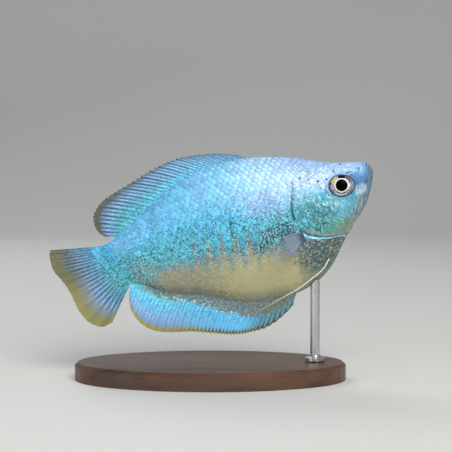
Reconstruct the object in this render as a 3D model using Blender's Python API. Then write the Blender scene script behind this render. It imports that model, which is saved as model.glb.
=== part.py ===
"""A dwarf gourami at life size, held on a plain display stand.

The fish is laid out in millimetres in its own frame: back is the distance behind the tip of the
snout, side is to the fish's left and up is towards its dorsal fin. Fish.place pitches that frame
nose up and sets it on the stand, with +X towards the head and +Z up, in metres.
"""

import math

import bmesh
import bpy
from mathutils import Vector

MM = 0.001
GAP = 0.3  # between pieces that touch

# Size and pose of the fish
BODY_LENGTH = 62.0  # snout to the end of the tail stem
PITCH = math.radians(20.0)
SNOUT_X = 36.9
SNOUT_Z = 46.4
TAIL_LEAN_FROM = 48.0  # behind this the sections lean back with the root of the tail fin
TAIL_LEAN = 0.27

# The body, as (distance behind the mouth, value)
LIP_TIP = -0.5
BACK_LINE = (
    (LIP_TIP, 1.3), (0.0, 2.75), (0.7, 3.5), (1.8, 4.05), (3.7, 4.8), (7.0, 5.85), (11.0, 7.7),
    (16.0, 10.4), (22.0, 12.65), (28.0, 14.2), (34.5, 15.05), (42.0, 13.9), (50.0, 11.0), (58.0, 7.1),
    (62.0, 6.0),
)
BELLY_LINE = (
    (LIP_TIP, 1.3), (0.0, -0.3), (0.8, -1.8), (1.8, -3.3), (3.7, -5.75), (7.0, -8.4), (11.0, -11.8),
    (16.0, -16.45), (20.0, -18.4), (25.0, -19.3), (31.0, -19.0), (36.0, -17.9), (41.0, -15.4),
    (46.0, -12.4), (53.5, -9.3), (58.0, -5.9), (62.0, -4.0),
)
HALF_WIDTH = (
    (LIP_TIP, 0.0), (0.0, 0.95), (0.8, 1.5), (1.8, 2.0), (3.7, 2.75), (7.0, 3.6), (11.0, 4.35),
    (16.0, 5.0), (25.0, 5.4), (34.0, 4.95), (42.0, 4.05), (50.0, 2.9), (58.0, 1.75), (62.0, 1.2),
)
WIDEST_AT = (
    (LIP_TIP, 1.3), (1.8, 0.6), (3.7, -0.2), (9.0, -0.9), (16.0, -1.8), (25.0, -0.8), (34.0, 0.8),
    (46.0, 1.4), (62.0, 0.9),
)
UPPER_TAPER = ((0.0, 0.5), (11.0, 0.5), (25.0, 0.6), (62.0, 0.6))  # 0.5 is an ellipse, 1 a lens
LOWER_TAPER = ((0.0, 0.5), (7.0, 0.55), (16.0, 0.7), (31.0, 0.8), (50.0, 0.7), (62.0, 0.6))
RINGS = 48
RING_POINTS = 32

# Edges that part the body, as (height, distance behind the snout)
JAW_EDGE = (
    (-9.5, 7.3), (-7.7, 6.1), (-5.7, 5.15), (-3.8, 4.15), (-2.1, 3.0), (0.15, 1.95), (2.1, 1.45),
    (3.15, 1.3), (6.0, 1.1),
)
HEAD_EDGE = (
    (-11.5, 7.6), (-10.3, 9.6), (-9.95, 11.2), (-9.75, 12.3), (-9.25, 14.1), (-8.4, 16.2),
    (-7.0, 18.3), (-4.9, 19.9), (-2.4, 20.1), (1.2, 19.3), (4.6, 18.0), (8.0, 17.0), (14.0, 16.3),
)
STEM_EDGE = ((-14.0, 51.0), (14.0, 53.5))
FAR = 30.0  # how far the cutting blocks reach past the body
EDGE_STEPS = 40

# Head
EYE_BACK, EYE_UP = 7.6, 0.43
EYE_LENGTH_RADIUS, EYE_HEIGHT_RADIUS = 3.0, 2.5  # level and upright in the model's frame
EYE_DEPTH_RADIUS, EYE_STANDS_OUT = 1.75, 0.55
MOUTH_CORNER, LIP_RADIUS, LIP_CORNER_RADIUS = -1.2, 0.46, 0.24
LIP_POINTS, LIP_SIDES = 15, 8
LIP_SUNK, LIP_TOP_SUNK = 0.14, 0.16
LIP_BESIDE_CLEFT = 0.44
NOSTRILS = ((3.0, 3.1, 0.3), (4.7, 3.0, 0.34))  # back, up, radius
NOSTRIL_DEPTH, NOSTRIL_SIDES = 0.6, 8
GILL_TOP, GILL_BOTTOM = 4.2, -8.7
GILL_FRONT = (
    (GILL_BOTTOM, 14.4), (-8.0, 12.7), (-6.2, 11.3), (-2.5, 10.9), (1.0, 12.1), (3.4, 14.6),
    (GILL_TOP, 17.4),
)
GILL_POINTS = 12  # down each edge
GILL_RISE, GILL_INSIDE, GILL_EDGE_DROP = 0.42, 0.5, 0.22
RECESS_RISE = 3.0  # how far the cutter of a gill cover's recess stands out of the head

# Fins: the share of the base at which a ray stands, and where its tip is (back, up)
DORSAL_BASE, DORSAL_RAYS = (24.4, 58.8), 25
DORSAL_TIPS = (
    (0.0, 27.5, 15.1), (0.08, 32.4, 17.2), (0.2, 36.9, 18.4), (0.32, 41.6, 19.1), (0.44, 46.4, 18.7),
    (0.56, 51.6, 17.6), (0.67, 56.3, 16.6), (0.75, 59.6, 15.7), (0.82, 62.0, 14.2), (0.88, 63.2, 12.5),
    (0.93, 63.4, 10.6), (0.97, 62.9, 9.0), (1.0, 61.9, 7.8),
)
DORSAL_BULGE, DORSAL_NOTCH = 0.03, 0.07
DORSAL_WAVES = 1.5  # of the margin, from side to side
ANAL_BASE, ANAL_RAYS = (24.6, 59.8), 28
ANAL_TIPS = (
    (0.0, 26.9, -21.5), (0.037, 29.8, -23.0), (0.075, 32.7, -24.0), (0.11, 35.2, -24.4),
    (0.16, 37.6, -24.2), (0.26, 40.6, -23.8), (0.36, 43.6, -22.8), (0.47, 47.2, -21.2),
    (0.57, 50.8, -19.5), (0.66, 54.4, -18.3), (0.74, 57.6, -17.0), (0.81, 60.0, -15.2),
    (0.87, 61.3, -13.2), (0.92, 61.9, -11.2), (0.96, 62.1, -9.4), (1.0, 61.6, -7.4),
)
ANAL_BULGE, ANAL_NOTCH = 0.05, 0.08
ANAL_WAVES = 1.3
MARGIN_WAVE = 0.5  # how far the margins of the two long fins swing to either side
TAIL_RAYS = 16
TAIL_TIPS = (
    (0.0, 75.2, 9.2), (0.12, 75.9, 7.6), (0.27, 76.1, 5.0), (0.42, 75.0, 1.5), (0.57, 74.2, -2.0),
    (0.68, 73.9, -5.2), (0.78, 73.2, -8.2), (0.87, 71.6, -10.6), (0.94, 69.6, -11.7), (1.0, 67.5, -11.4),
)
TAIL_SWEEP, TAIL_BEND = 2.2, 1.6  # how far its tips swing to the fish's left, and how late
TAIL_RIPPLE, TAIL_WAVES = 0.25, 2.5
TAIL_ROOT_SHARE = 0.6  # of the tail stem's width
MEMBRANE, RAY_CREST, RAY_WIDTH = 0.25, 0.43, 0.34  # half thickness, half thickness, width
MARGIN_HALF = 0.2  # half thickness of a fin's margin
PECTORAL_ROOT, PECTORAL_LENGTH, PECTORAL_RAYS = (20.4, -7.3), 10.5, 10
PECTORAL_ROOT_HEIGHT, PECTORAL_ROOT_HALF = 2.3, 0.4
PECTORAL_ROUNDING = 0.16  # share of its length by which the paddle's corners draw in
PECTORAL_TWIST = 0.9
PECTORAL_GAP = 0.45
PECTORAL_FAN = math.radians(50.0)
PECTORAL_DIRECTION = Vector((0.72, 0.68, -0.12))  # back, out, up

# The thread-like pelvic fins, from the breast back along the belly: back, out, up
FEELER_PATH = (
    (15.8, 2.9, -14.1), (18.3, 2.8, -16.0), (21.0, 2.6, -17.0), (24.5, 2.4, -18.1), (29.0, 2.15, -18.9),
    (33.0, 1.95, -19.6), (37.0, 1.8, -20.6),
)
FEELER_POINTS, FEELER_SIDES = 19, 7
FEELER_RADIUS, FEELER_TIP_RADIUS = 0.5, 0.26

# Stand
BASE_LENGTH, BASE_DEPTH, BASE_HEIGHT, BASE_CHAMFER = 62.0, 34.0, 4.0, 0.7
BASE_SEGMENTS = 56
ROD_RADIUS, ROD_FOOT_RADIUS = 1.1, 2.3
ROD_STEPS = (  # radius and height over the base
    (ROD_FOOT_RADIUS, 0.0), (ROD_FOOT_RADIUS, 0.63), (1.43, 0.9), (ROD_RADIUS, 1.35),
)
ROD_AT = 20.6  # distance behind the snout at which the rod meets the belly
ROD_SEGMENTS = 20

# Colours of the display materials, linear RGB
SKIN_BLUE = (0.30, 0.62, 0.78)
FIN_BLUE = (0.25, 0.50, 0.72)
CHEEK_TEAL = (0.35, 0.66, 0.70)
CLEAR_RAY = (0.62, 0.60, 0.48)
EYE_SILVER = (0.55, 0.53, 0.50)
STAND_WOOD = (0.13, 0.07, 0.04)
STAND_STEEL = (0.62, 0.62, 0.63)


class Curve:
    """A smooth line through (where, value) pairs that never overshoots them."""

    def __init__(self, pairs, bend=1.0):
        """bend under 1 rounds the first stretch, as at the tip of a snout."""
        self.bend = bend
        self.first = pairs[0][0]
        self.where = [(pair[0] - self.first) ** bend for pair in pairs]
        self.value = [pair[1] for pair in pairs]
        steps = [b - a for a, b in zip(self.where, self.where[1:])]
        rises = [(b - a) / step for a, b, step in zip(self.value, self.value[1:], steps)]
        self.slope = [rises[0]] + [self._mean(*pair) for pair in zip(rises, rises[1:])] + [rises[-1]]

    @staticmethod
    def _mean(before, after):
        return 0.0 if before * after <= 0.0 else 2.0 * before * after / (before + after)

    def __call__(self, at):
        at = max(at - self.first, 0.0) ** self.bend
        last = len(self.where) - 2
        i = max(0, min(last, sum(1 for w in self.where if w <= at) - 1))
        step = self.where[i + 1] - self.where[i]
        t = min(max((at - self.where[i]) / step, 0.0), 1.0)
        rise = self.value[i + 1] - self.value[i]
        a = step * self.slope[i] - rise
        b = rise - step * self.slope[i + 1]
        return self.value[i] + rise * t + t * (1 - t) * (a * (1 - t) + b * t)


class Body:
    """The outer shape of the head, trunk and tail stem, and points on it."""

    def __init__(self):
        self.back = Curve(BACK_LINE, 0.5)
        self.belly = Curve(BELLY_LINE, 0.5)
        self.half_width = Curve(HALF_WIDTH, 0.5)
        self.widest_at = Curve(WIDEST_AT, 0.5)
        self.upper_taper = Curve(UPPER_TAPER)
        self.lower_taper = Curve(LOWER_TAPER)

    def side_at(self, back, up):
        """Half the body's width at this distance behind the snout and this height."""
        middle = self.widest_at(back)
        edge = self.back(back) if up > middle else self.belly(back)
        taper = self.upper_taper(back) if up > middle else self.lower_taper(back)
        share = min(abs(up - middle) / max(abs(edge - middle), 1e-6), 1.0)
        return self.half_width(back) * (1.0 - share * share) ** taper

    def lean(self, back, up):
        """How far behind its station a point of a section lies, which grows towards the tail."""
        share = max(0.0, (back - TAIL_LEAN_FROM) / (BODY_LENGTH - TAIL_LEAN_FROM))
        return TAIL_LEAN * share * share * (up - self.widest_at(BODY_LENGTH))

    def section(self, back, count, grow=0.0):
        """count points round the body at a station, grown outwards by grow."""
        middle = self.widest_at(back)
        points = []
        for k in range(count):
            angle = 2.0 * math.pi * k / count
            over = math.sin(angle) >= 0.0
            edge = self.back(back) if over else self.belly(back)
            taper = self.upper_taper(back) if over else self.lower_taper(back)
            up = middle + (edge - middle) * abs(math.sin(angle)) + grow * math.sin(angle)
            side = self.half_width(back) * abs(math.cos(angle)) ** (2.0 * taper)
            side = math.copysign(side + grow * abs(math.cos(angle)), math.cos(angle))
            points.append((back + self.lean(back, up), side, up))
        return points


def place(point):
    """A point of the fish's frame, in the model's frame and in metres."""
    back, side, up = point
    x = SNOUT_X - back * math.cos(PITCH) - up * math.sin(PITCH)
    z = SNOUT_Z - back * math.sin(PITCH) + up * math.cos(PITCH)
    return Vector((x, side, z)) * MM


def material(name, colour, roughness, metallic=0.0):
    """A plain Principled material."""
    made = bpy.data.materials.new(name)
    made.use_nodes = True
    shader = made.node_tree.nodes["Principled BSDF"]
    shader.inputs["Base Color"].default_value = (*colour, 1.0)
    shader.inputs["Roughness"].default_value = roughness
    shader.inputs["Metallic"].default_value = metallic
    return made


def solid(name, points, faces, finish=None):
    """A mesh object from points in metres, with its faces turned outwards and cut into triangles."""
    mesh = bpy.data.meshes.new(name)
    mesh.from_pydata(points, [], faces)
    made = bmesh.new()
    made.from_mesh(mesh)
    bmesh.ops.triangulate(made, faces=made.faces[:], quad_method="FIXED")
    bmesh.ops.recalc_face_normals(made, faces=made.faces[:])
    made.to_mesh(mesh)
    made.free()
    obj = bpy.data.objects.new(name, mesh)
    bpy.context.scene.collection.objects.link(obj)
    if finish:
        mesh.materials.append(finish)
    return obj


def loft(name, rings, finish=None, tip=None, end=None):
    """A closed skin over rings of equal length. tip and end are points that close it, or flat caps."""
    count = len(rings[0])
    points = [point for ring in rings for point in ring]
    faces = []
    for r in range(len(rings) - 1):
        for k in range(count):
            a, b = r * count + k, r * count + (k + 1) % count
            faces.append((a, b, b + count, a + count))
    for point, first in ((tip, 0), (end, (len(rings) - 1) * count)):
        ring = list(range(first, first + count))
        if point is None:
            faces.append(ring)
            continue
        points.append(point)
        faces += [(len(points) - 1, ring[k], ring[(k + 1) % count]) for k in range(count)]
    return solid(name, points, faces, finish)


def tube(name, path, radii, sides, finish=None):
    """A round rod along a path in the fish's frame, with its radius at each point."""
    spots = [Vector(point) for point in path]
    rings = []
    across = Vector((0.0, 1.0, 0.0))
    for i, spot in enumerate(spots):
        along = (spots[min(i + 1, len(spots) - 1)] - spots[max(i - 1, 0)]).normalized()
        first = (across - along * across.dot(along)).normalized()
        second = along.cross(first)
        turns = [2.0 * math.pi * k / sides for k in range(sides)]
        rings.append([place(spot + (first * math.cos(a) + second * math.sin(a)) * radii[i]) for a in turns])
        across = first
    return loft(name, rings, finish)


def combine(target, tool, operation):
    """Cuts or joins target by tool, keeps its largest closed surface, and removes tool."""
    change = target.modifiers.new(operation, "BOOLEAN")
    change.operation = operation
    change.solver = "EXACT"
    change.object = tool
    graph = bpy.context.evaluated_depsgraph_get()
    made = bpy.data.meshes.new_from_object(target.evaluated_get(graph))
    target.modifiers.clear()
    target.data = made
    bpy.data.objects.remove(tool)
    keep_largest(target)
    return target


def six_volumes(face):
    """A measure of the volume between a face and the origin."""
    return face.calc_center_median().dot(face.normal) * face.calc_area()


def keep_largest(obj):
    """Drops every closed surface of a mesh but the one with the most volume."""
    mesh = bmesh.new()
    mesh.from_mesh(obj.data)
    left, groups = set(mesh.faces), []
    while left:
        group, edge = set(), [left.pop()]
        while edge:
            face = edge.pop()
            group.add(face)
            near = {other for side in face.edges for other in side.link_faces} & left
            left -= near
            edge += near
        groups.append(group)
    groups.sort(key=lambda group: abs(sum(six_volumes(face) for face in group)))
    for group in groups[:-1]:
        bmesh.ops.delete(mesh, geom=list(group), context="FACES")
    loose = [v for v in mesh.verts if not v.link_faces]
    bmesh.ops.delete(mesh, geom=loose, context="VERTS")
    bmesh.ops.triangulate(mesh, faces=mesh.faces[:])
    mesh.to_mesh(obj.data)
    mesh.free()


def copy_of(obj, name):
    """A separate object with a mesh of its own."""
    made = bpy.data.objects.new(name, obj.data.copy())
    bpy.context.scene.collection.objects.link(made)
    return made


def shade(obj, angle=40.0):
    """Smooth shading, with sharp edges kept."""
    obj.data.shade_smooth()
    obj.data.set_sharp_from_angle(angle=math.radians(angle))


def whole_body(body, grow=0.0):
    """The head, trunk and tail stem as one closed solid."""
    stations = [LIP_TIP + (BODY_LENGTH - LIP_TIP) * (r / RINGS) ** 1.5 for r in range(1, RINGS + 1)]
    rings = [[place(p) for p in body.section(s, RING_POINTS, grow)] for s in stations]
    tip = place((LIP_TIP - grow, 0.0, BACK_LINE[0][1]))
    return loft("body", rings, tip=tip)


def front_block(edge, shift):
    """A block that holds everything in front of an edge, which is moved back by shift."""
    curve = Curve(edge)
    low, high = edge[0][0], edge[-1][0]
    heights = [low + (high - low) * i / EDGE_STEPS for i in range(EDGE_STEPS + 1)]
    line = [Vector((curve(up), up)) for up in heights]
    line = [Vector((line[0].x, -FAR))] + line + [Vector((line[-1].x, FAR))]
    outline = []
    for i, spot in enumerate(line):
        along = (line[min(i + 1, len(line) - 1)] - line[max(i - 1, 0)]).normalized()
        outline.append(spot + Vector((along.y, -along.x)) * shift)
    outline += [Vector((-FAR, FAR)), Vector((-FAR, -FAR))]
    rings = [[place((p.x, side, p.y)) for p in outline] for side in (-FAR, FAR)]
    return loft("block", rings)


def parted(body_solid):
    """The lower jaw, head, trunk and tail stem, cut from one body with a gap between them."""
    half = GAP / 2.0
    jaw, head = copy_of(body_solid, "lower_jaw"), copy_of(body_solid, "head")
    trunk, stem = copy_of(body_solid, "trunk"), body_solid
    stem.name = "tail_stem"
    combine(jaw, front_block(JAW_EDGE, -half), "INTERSECT")
    combine(head, front_block(HEAD_EDGE, -half), "INTERSECT")
    combine(head, front_block(JAW_EDGE, half), "DIFFERENCE")
    combine(trunk, front_block(STEM_EDGE, -half), "INTERSECT")
    combine(trunk, front_block(HEAD_EDGE, half), "DIFFERENCE")
    combine(stem, front_block(STEM_EDGE, half), "DIFFERENCE")
    return jaw, head, trunk, stem


def lip(body, shift):
    """A rounded lip along the mouth, from corner to corner over the snout, shift behind the cleft."""
    cleft = Curve(JAW_EDGE)
    top = body.back(cleft(BACK_LINE[2][1]) + shift) - LIP_TOP_SUNK
    path, radii = [], []
    for i in range(LIP_POINTS):
        turn = math.pi * i / (LIP_POINTS - 1)
        up = MOUTH_CORNER + (top - MOUTH_CORNER) * math.sin(turn) ** 0.8
        back = cleft(up) + shift
        side = body.side_at(back, up) - LIP_SUNK
        path.append((back, max(side, 0.0) * (1.0 if turn < math.pi / 2 else -1.0), up))
        radii.append(LIP_CORNER_RADIUS + (LIP_RADIUS - LIP_CORNER_RADIUS) * math.sin(turn) ** 0.5)
    path[LIP_POINTS // 2] = (path[LIP_POINTS // 2][0], 0.0, top)
    return tube("lip", path, radii, LIP_SIDES)


def ellipsoid(name, centre, radii, segments=20, rows=10, finish=None):
    """A closed ellipsoid at a point of the fish's frame, level in the model's, with poles to the sides."""
    middle = place(centre)
    rings = []
    for r in range(1, rows):
        tilt = math.pi * r / rows
        ring = []
        for k in range(segments):
            angle = 2.0 * math.pi * k / segments
            offset = (math.cos(angle) * math.sin(tilt), math.cos(tilt), math.sin(angle) * math.sin(tilt))
            ring.append(middle + Vector([o * radius for o, radius in zip(offset, radii)]) * MM)
        rings.append(ring)
    tips = [middle + Vector((0.0, way * radii[1], 0.0)) * MM for way in (1.0, -1.0)]
    return loft(name, rings, finish, tips[0], tips[1])


def eye(name, body, way, grow=0.0, finish=None):
    """An eyeball, flattened towards the skull. way is 1 on the fish's left and -1 on its right."""
    outside = body.side_at(EYE_BACK, EYE_UP) + EYE_STANDS_OUT
    centre = (EYE_BACK, way * (outside - EYE_DEPTH_RADIUS), EYE_UP)
    radii = [radius + grow for radius in (EYE_LENGTH_RADIUS, EYE_DEPTH_RADIUS, EYE_HEIGHT_RADIUS)]
    return ellipsoid(name, centre, radii, finish=finish)


def nostril(body, spot, way):
    """The pit of one nostril, as a cutter."""
    back, up, radius = spot
    side = body.side_at(back, up)
    path = [(back, way * (side + depth), up) for depth in (-NOSTRIL_DEPTH, NOSTRIL_DEPTH)]
    turns = [2.0 * math.pi * k / NOSTRIL_SIDES for k in range(NOSTRIL_SIDES)]
    rings = [
        [place((x + radius * math.cos(a), y, z + radius * math.sin(a))) for a in turns] for x, y, z in path
    ]
    return loft("nostril", rings)


def gill_outline(grow):
    """The edge of a gill cover as (back, up) points, moved outwards by grow."""
    rear, front = Curve(HEAD_EDGE), Curve(GILL_FRONT)
    middle, reach = (GILL_TOP + GILL_BOTTOM) / 2.0, (GILL_TOP - GILL_BOTTOM) / 2.0
    heights = [middle - reach * math.cos(math.pi * i / GILL_POINTS) for i in range(GILL_POINTS + 1)]
    points = [Vector((rear(up) - GAP / 2.0, up)) for up in heights]
    points += [Vector((front(up), up)) for up in reversed(heights)]
    moved = []
    for i, point in enumerate(points):
        along = (points[(i + 1) % len(points)] - points[i - 1]).normalized()
        moved.append(point + Vector((along.y, -along.x)) * grow)
    return moved


def gill_plate(name, body, way, grow=0.0, rise=GILL_RISE, inside=GILL_INSIDE, finish=None):
    """A gill cover: a plate that follows the cheek and stands a little proud of it."""
    outline = gill_outline(grow)
    middle = sum(outline, Vector((0.0, 0.0))) / len(outline)
    shares = (0.4, 0.8, 1.0)
    points, faces = [], []
    count = len(outline)
    for outer in (True, False):
        for share in (0.0,) + shares:
            for spot in outline if share else (middle,):
                x, z = middle + (spot - middle) * share
                lift = rise if share < 1.0 else rise - GILL_EDGE_DROP
                side = body.side_at(x, z) + (lift if outer else -inside)
                points.append(place((x, way * side, z)))
    half = len(points) // 2
    for start in (0, half):
        faces += [(start, start + 1 + k, start + 1 + (k + 1) % count) for k in range(count)]
        for row in range(len(shares) - 1):
            first = start + 1 + row * count
            for k in range(count):
                a, b = first + k, first + (k + 1) % count
                faces += [(a, b, a + count), (b, b + count, a + count)]
    rim = 1 + (len(shares) - 1) * count
    for k in range(count):
        a, b = rim + k, rim + (k + 1) % count
        faces += [(a, b, a + half), (b, b + half, a + half)]
    return solid(name, points, faces, finish)


class Fin:
    """A thin fin with raised rays. root and tip give a ray's ends for its share along the base."""

    def __init__(self, root, tip, rays, bulge=0.0, sway=None, notch=0.0, root_half=None, rows=5):
        self.root, self.tip, self.rays, self.rows = root, tip, rays, rows
        self.bulge, self.notch = bulge, notch
        self.sway = sway or (lambda share, along: 0.0)
        self.root_half = root_half or RAY_CREST

    def centre(self, share, along, reach=1.0):
        """A point of the fin's middle sheet: share along the base, along the ray from its root."""
        foot, end = Vector(self.root(share)), Vector(self.tip(share))
        ray = (end - foot) * reach
        bend = Vector((-ray.y, ray.x)) * self.bulge * 4.0 * along * (1.0 - along)
        return foot + ray * along + bend

    def columns(self):
        """(share of the base, whether it is a ray's crest) from the first ray to the last."""
        step = 1.0 / (self.rays - 1)
        length = (Vector(self.root(1.0)) - Vector(self.root(0.0))).length
        foot = min(RAY_WIDTH * 0.5 / length, step * 0.3)
        found = []
        for i in range(self.rays):
            for offset in (-foot, 0.0, foot):
                share = i * step + offset
                if 0.0 <= share <= 1.0:
                    found.append((share, offset == 0.0))
        return found

    def solid(self, name, finish, lay=place):
        """The fin as one closed solid, cut into the same triangles on both faces."""
        columns = self.columns()
        points, faces = [], []
        for way in (1.0, -1.0):
            for share, crest in columns:
                for r in range(self.rows):
                    along = r / (self.rows - 1)
                    pull = 1.0 if crest else 1.0 - self.notch * (1.0 - share)
                    x, z = self.centre(share, along, pull if r == self.rows - 1 else 1.0)
                    half = RAY_CREST if crest else MEMBRANE
                    half = half + (MARGIN_HALF - half) * along ** 2
                    half = self.root_half if r == 0 else half
                    side = self.sway(share, along)
                    points.append(lay((x, side + way * half, z)))
        half = len(points) // 2
        for start in (0, half):
            for c in range(len(columns) - 1):
                for r in range(self.rows - 1):
                    a = start + c * self.rows + r
                    b = a + self.rows
                    faces += [(a, b, b + 1), (a, b + 1, a + 1)]
        rim = [c * self.rows for c in range(len(columns))]
        rim += [rim[-1] + r for r in range(1, self.rows)]
        rim += [c * self.rows + self.rows - 1 for c in range(len(columns) - 2, -1, -1)]
        rim += [r for r in range(self.rows - 2, 0, -1)]
        for a, b in zip(rim, rim[1:] + rim[:1]):
            faces += [(a, b, b + half), (a, b + half, a + half)]
        return solid(name, points, faces, finish)


def tips_of(table):
    """The function from a ray's share to its tip, from (share, back, up) rows."""
    back = Curve([(share, x) for share, x, _ in table])
    up = Curve([(share, z) for share, _, z in table])
    return lambda share: (back(share), up(share))


def base_of(span, line, gap):
    """The function from a ray's share to its root on the body's back or belly line."""
    def root(share):
        back = span[0] + (span[1] - span[0]) * share
        return (back, line(back) + gap)
    return root


def dorsal_fin(body, finish):
    """The long fin of the back: stiff rays in front, softer ones in its rounded rear lobe."""
    def sway(share, along):
        return MARGIN_WAVE * math.sin(2.0 * math.pi * DORSAL_WAVES * share) * along ** 2

    root = base_of(DORSAL_BASE, body.back, GAP)
    fin = Fin(root, tips_of(DORSAL_TIPS), DORSAL_RAYS, DORSAL_BULGE, sway, DORSAL_NOTCH)
    return fin.solid("dorsal_fin", finish)


def anal_fin(body, finish):
    """The long fin under the tail half of the body."""
    def sway(share, along):
        return -MARGIN_WAVE * math.sin(2.0 * math.pi * ANAL_WAVES * share) * along ** 2

    root = base_of(ANAL_BASE, body.belly, -GAP)
    fin = Fin(root, tips_of(ANAL_TIPS), ANAL_RAYS, ANAL_BULGE, sway, ANAL_NOTCH)
    return fin.solid("anal_fin", finish)


def tail_fin(body, finish):
    """The fan of the tail, swung a little to the fish's left."""
    top, low = body.back(BODY_LENGTH), body.belly(BODY_LENGTH)

    def root(share):
        up = top + (low - top) * share
        return (BODY_LENGTH + GAP + body.lean(BODY_LENGTH, up), up)

    def sway(share, along):
        ripple = TAIL_RIPPLE * math.sin(2.0 * math.pi * TAIL_WAVES * share) * along ** 2
        return TAIL_SWEEP * along ** TAIL_BEND + ripple

    half = body.half_width(BODY_LENGTH) * TAIL_ROOT_SHARE
    fin = Fin(root, tips_of(TAIL_TIPS), TAIL_RAYS, sway=sway, root_half=half, rows=6)
    return fin.solid("tail_fin", finish)


def pectoral_fin(name, body, way, finish):
    """A rounded paddle behind the gill cover, spread away from the flank."""
    back, up = PECTORAL_ROOT
    out = PECTORAL_DIRECTION.normalized()
    lift = Vector((0.0, 0.0, 1.0))
    rise = (lift - out * lift.dot(out)).normalized()
    face = out.cross(rise)

    def root(share):
        return (0.0, PECTORAL_ROOT_HEIGHT * (0.5 - share))

    def tip(share):
        angle = PECTORAL_FAN * (0.5 - share)
        reach = PECTORAL_LENGTH * (1.0 - PECTORAL_ROUNDING * (1.0 - math.cos(2.0 * angle)))
        return (reach * math.cos(angle), reach * math.sin(angle))

    def lay(point):
        along, off, across = point
        height = up + across * rise.z
        side = body.side_at(back, height) + PECTORAL_GAP
        spot = Vector((back, side, up)) + out * along + rise * across + face * off
        return place((spot.x, way * spot.y, spot.z))

    def sway(share, along):
        return PECTORAL_TWIST * math.sin(math.pi * along * 0.5) * (share - 0.5)

    fin = Fin(root, tip, PECTORAL_RAYS, sway=sway, root_half=PECTORAL_ROOT_HALF)
    return fin.solid(name, finish, lay)


def feeler(name, way, finish):
    """A pelvic fin, drawn out into one thread that trails along the belly."""
    out, up = (Curve([(row[0], row[i]) for row in FEELER_PATH]) for i in (1, 2))
    first, last = FEELER_PATH[0][0], FEELER_PATH[-1][0]
    path, radii = [], []
    for i in range(FEELER_POINTS):
        share = i / (FEELER_POINTS - 1)
        back = first + (last - first) * share
        path.append((back, way * out(back), up(back)))
        radii.append(FEELER_RADIUS + (FEELER_TIP_RADIUS - FEELER_RADIUS) * share)
    return tube(name, path, radii, FEELER_SIDES, finish)


def stand_base(finish):
    """A flat oval base with a chamfered rim."""
    rings = []
    steps = ((0.0, 0.0), (0.0, BASE_HEIGHT - BASE_CHAMFER), (BASE_CHAMFER, BASE_HEIGHT))
    for inset, height in steps:
        ring = []
        for k in range(BASE_SEGMENTS):
            angle = 2.0 * math.pi * k / BASE_SEGMENTS
            x = (BASE_LENGTH / 2.0 - inset) * math.cos(angle)
            y = (BASE_DEPTH / 2.0 - inset) * math.sin(angle)
            ring.append(Vector((x, y, height)) * MM)
        rings.append(ring)
    return loft("stand_base", rings, finish)


def stand_rod(body, finish):
    """A turned rod from the base up to the belly, with its top hollowed to the belly's shape."""
    foot = place((ROD_AT, 0.0, body.belly(ROD_AT)))
    top = foot.z / MM + ROD_RADIUS
    steps = [(radius, BASE_HEIGHT + GAP + height) for radius, height in ROD_STEPS]
    steps.append((ROD_RADIUS, top))
    turns = [2.0 * math.pi * k / ROD_SEGMENTS for k in range(ROD_SEGMENTS)]
    rings = [
        [Vector((foot.x + r * MM * math.cos(a), r * MM * math.sin(a), z * MM)) for a in turns]
        for r, z in steps
    ]
    rod = loft("stand_rod", rings, finish)
    return combine(rod, whole_body(body, GAP), "DIFFERENCE")


def clear_scene():
    """Removes what the scene starts with."""
    for obj in list(bpy.data.objects):
        bpy.data.objects.remove(obj)


def build():
    """Models the fish and its stand."""
    clear_scene()
    body = Body()
    skin = material("iridescent_skin", SKIN_BLUE, 0.35, 0.2)
    cheek = material("gill_cover_skin", CHEEK_TEAL, 0.32, 0.25)
    fin = material("blue_fin", FIN_BLUE, 0.4)
    clear = material("clear_fin", CLEAR_RAY, 0.35)
    silver = material("eye", EYE_SILVER, 0.08)
    wood = material("stand_wood", STAND_WOOD, 0.45)
    steel = material("stand_steel", STAND_STEEL, 0.25, 1.0)

    jaw, head, trunk, stem = parted(whole_body(body))
    combine(head, lip(body, GAP / 2.0 + LIP_BESIDE_CLEFT), "UNION")
    combine(jaw, lip(body, -GAP / 2.0 - LIP_BESIDE_CLEFT), "UNION")
    for name, way in (("left", 1.0), ("right", -1.0)):
        combine(head, gill_plate("recess", body, way, GAP, RECESS_RISE, GILL_INSIDE + GAP), "DIFFERENCE")
        combine(head, eye("socket", body, way, GAP), "DIFFERENCE")
        for spot in NOSTRILS:
            combine(head, nostril(body, spot, way), "DIFFERENCE")
        gill_plate("gill_cover_" + name, body, way, finish=cheek)
        eye("eye_" + name, body, way, finish=silver)
        pectoral_fin("pectoral_fin_" + name, body, way, clear)
        feeler("pelvic_feeler_" + name, way, clear)
    for piece in (jaw, head, trunk, stem):
        piece.data.materials.clear()
        piece.data.materials.append(skin)
    dorsal_fin(body, fin)
    anal_fin(body, fin)
    tail_fin(body, fin)
    stand_base(wood)
    stand_rod(body, steel)
    for obj in bpy.context.scene.objects:
        shade(obj)


build()
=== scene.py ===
"""A dwarf gourami swimming nose up on a display stand, dressed for rendering.

The fish is laid out in millimetres in its own frame: back is the distance behind the tip of the
snout, side is to the fish's left and up is towards its dorsal fin. Pose.place turns that frame
into the model's, in metres. Shaders read the same frame from attributes of each mesh.
"""
from __future__ import annotations

import logging
import math
from dataclasses import dataclass
from enum import Enum
from typing import Any, Callable, Sequence

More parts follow.
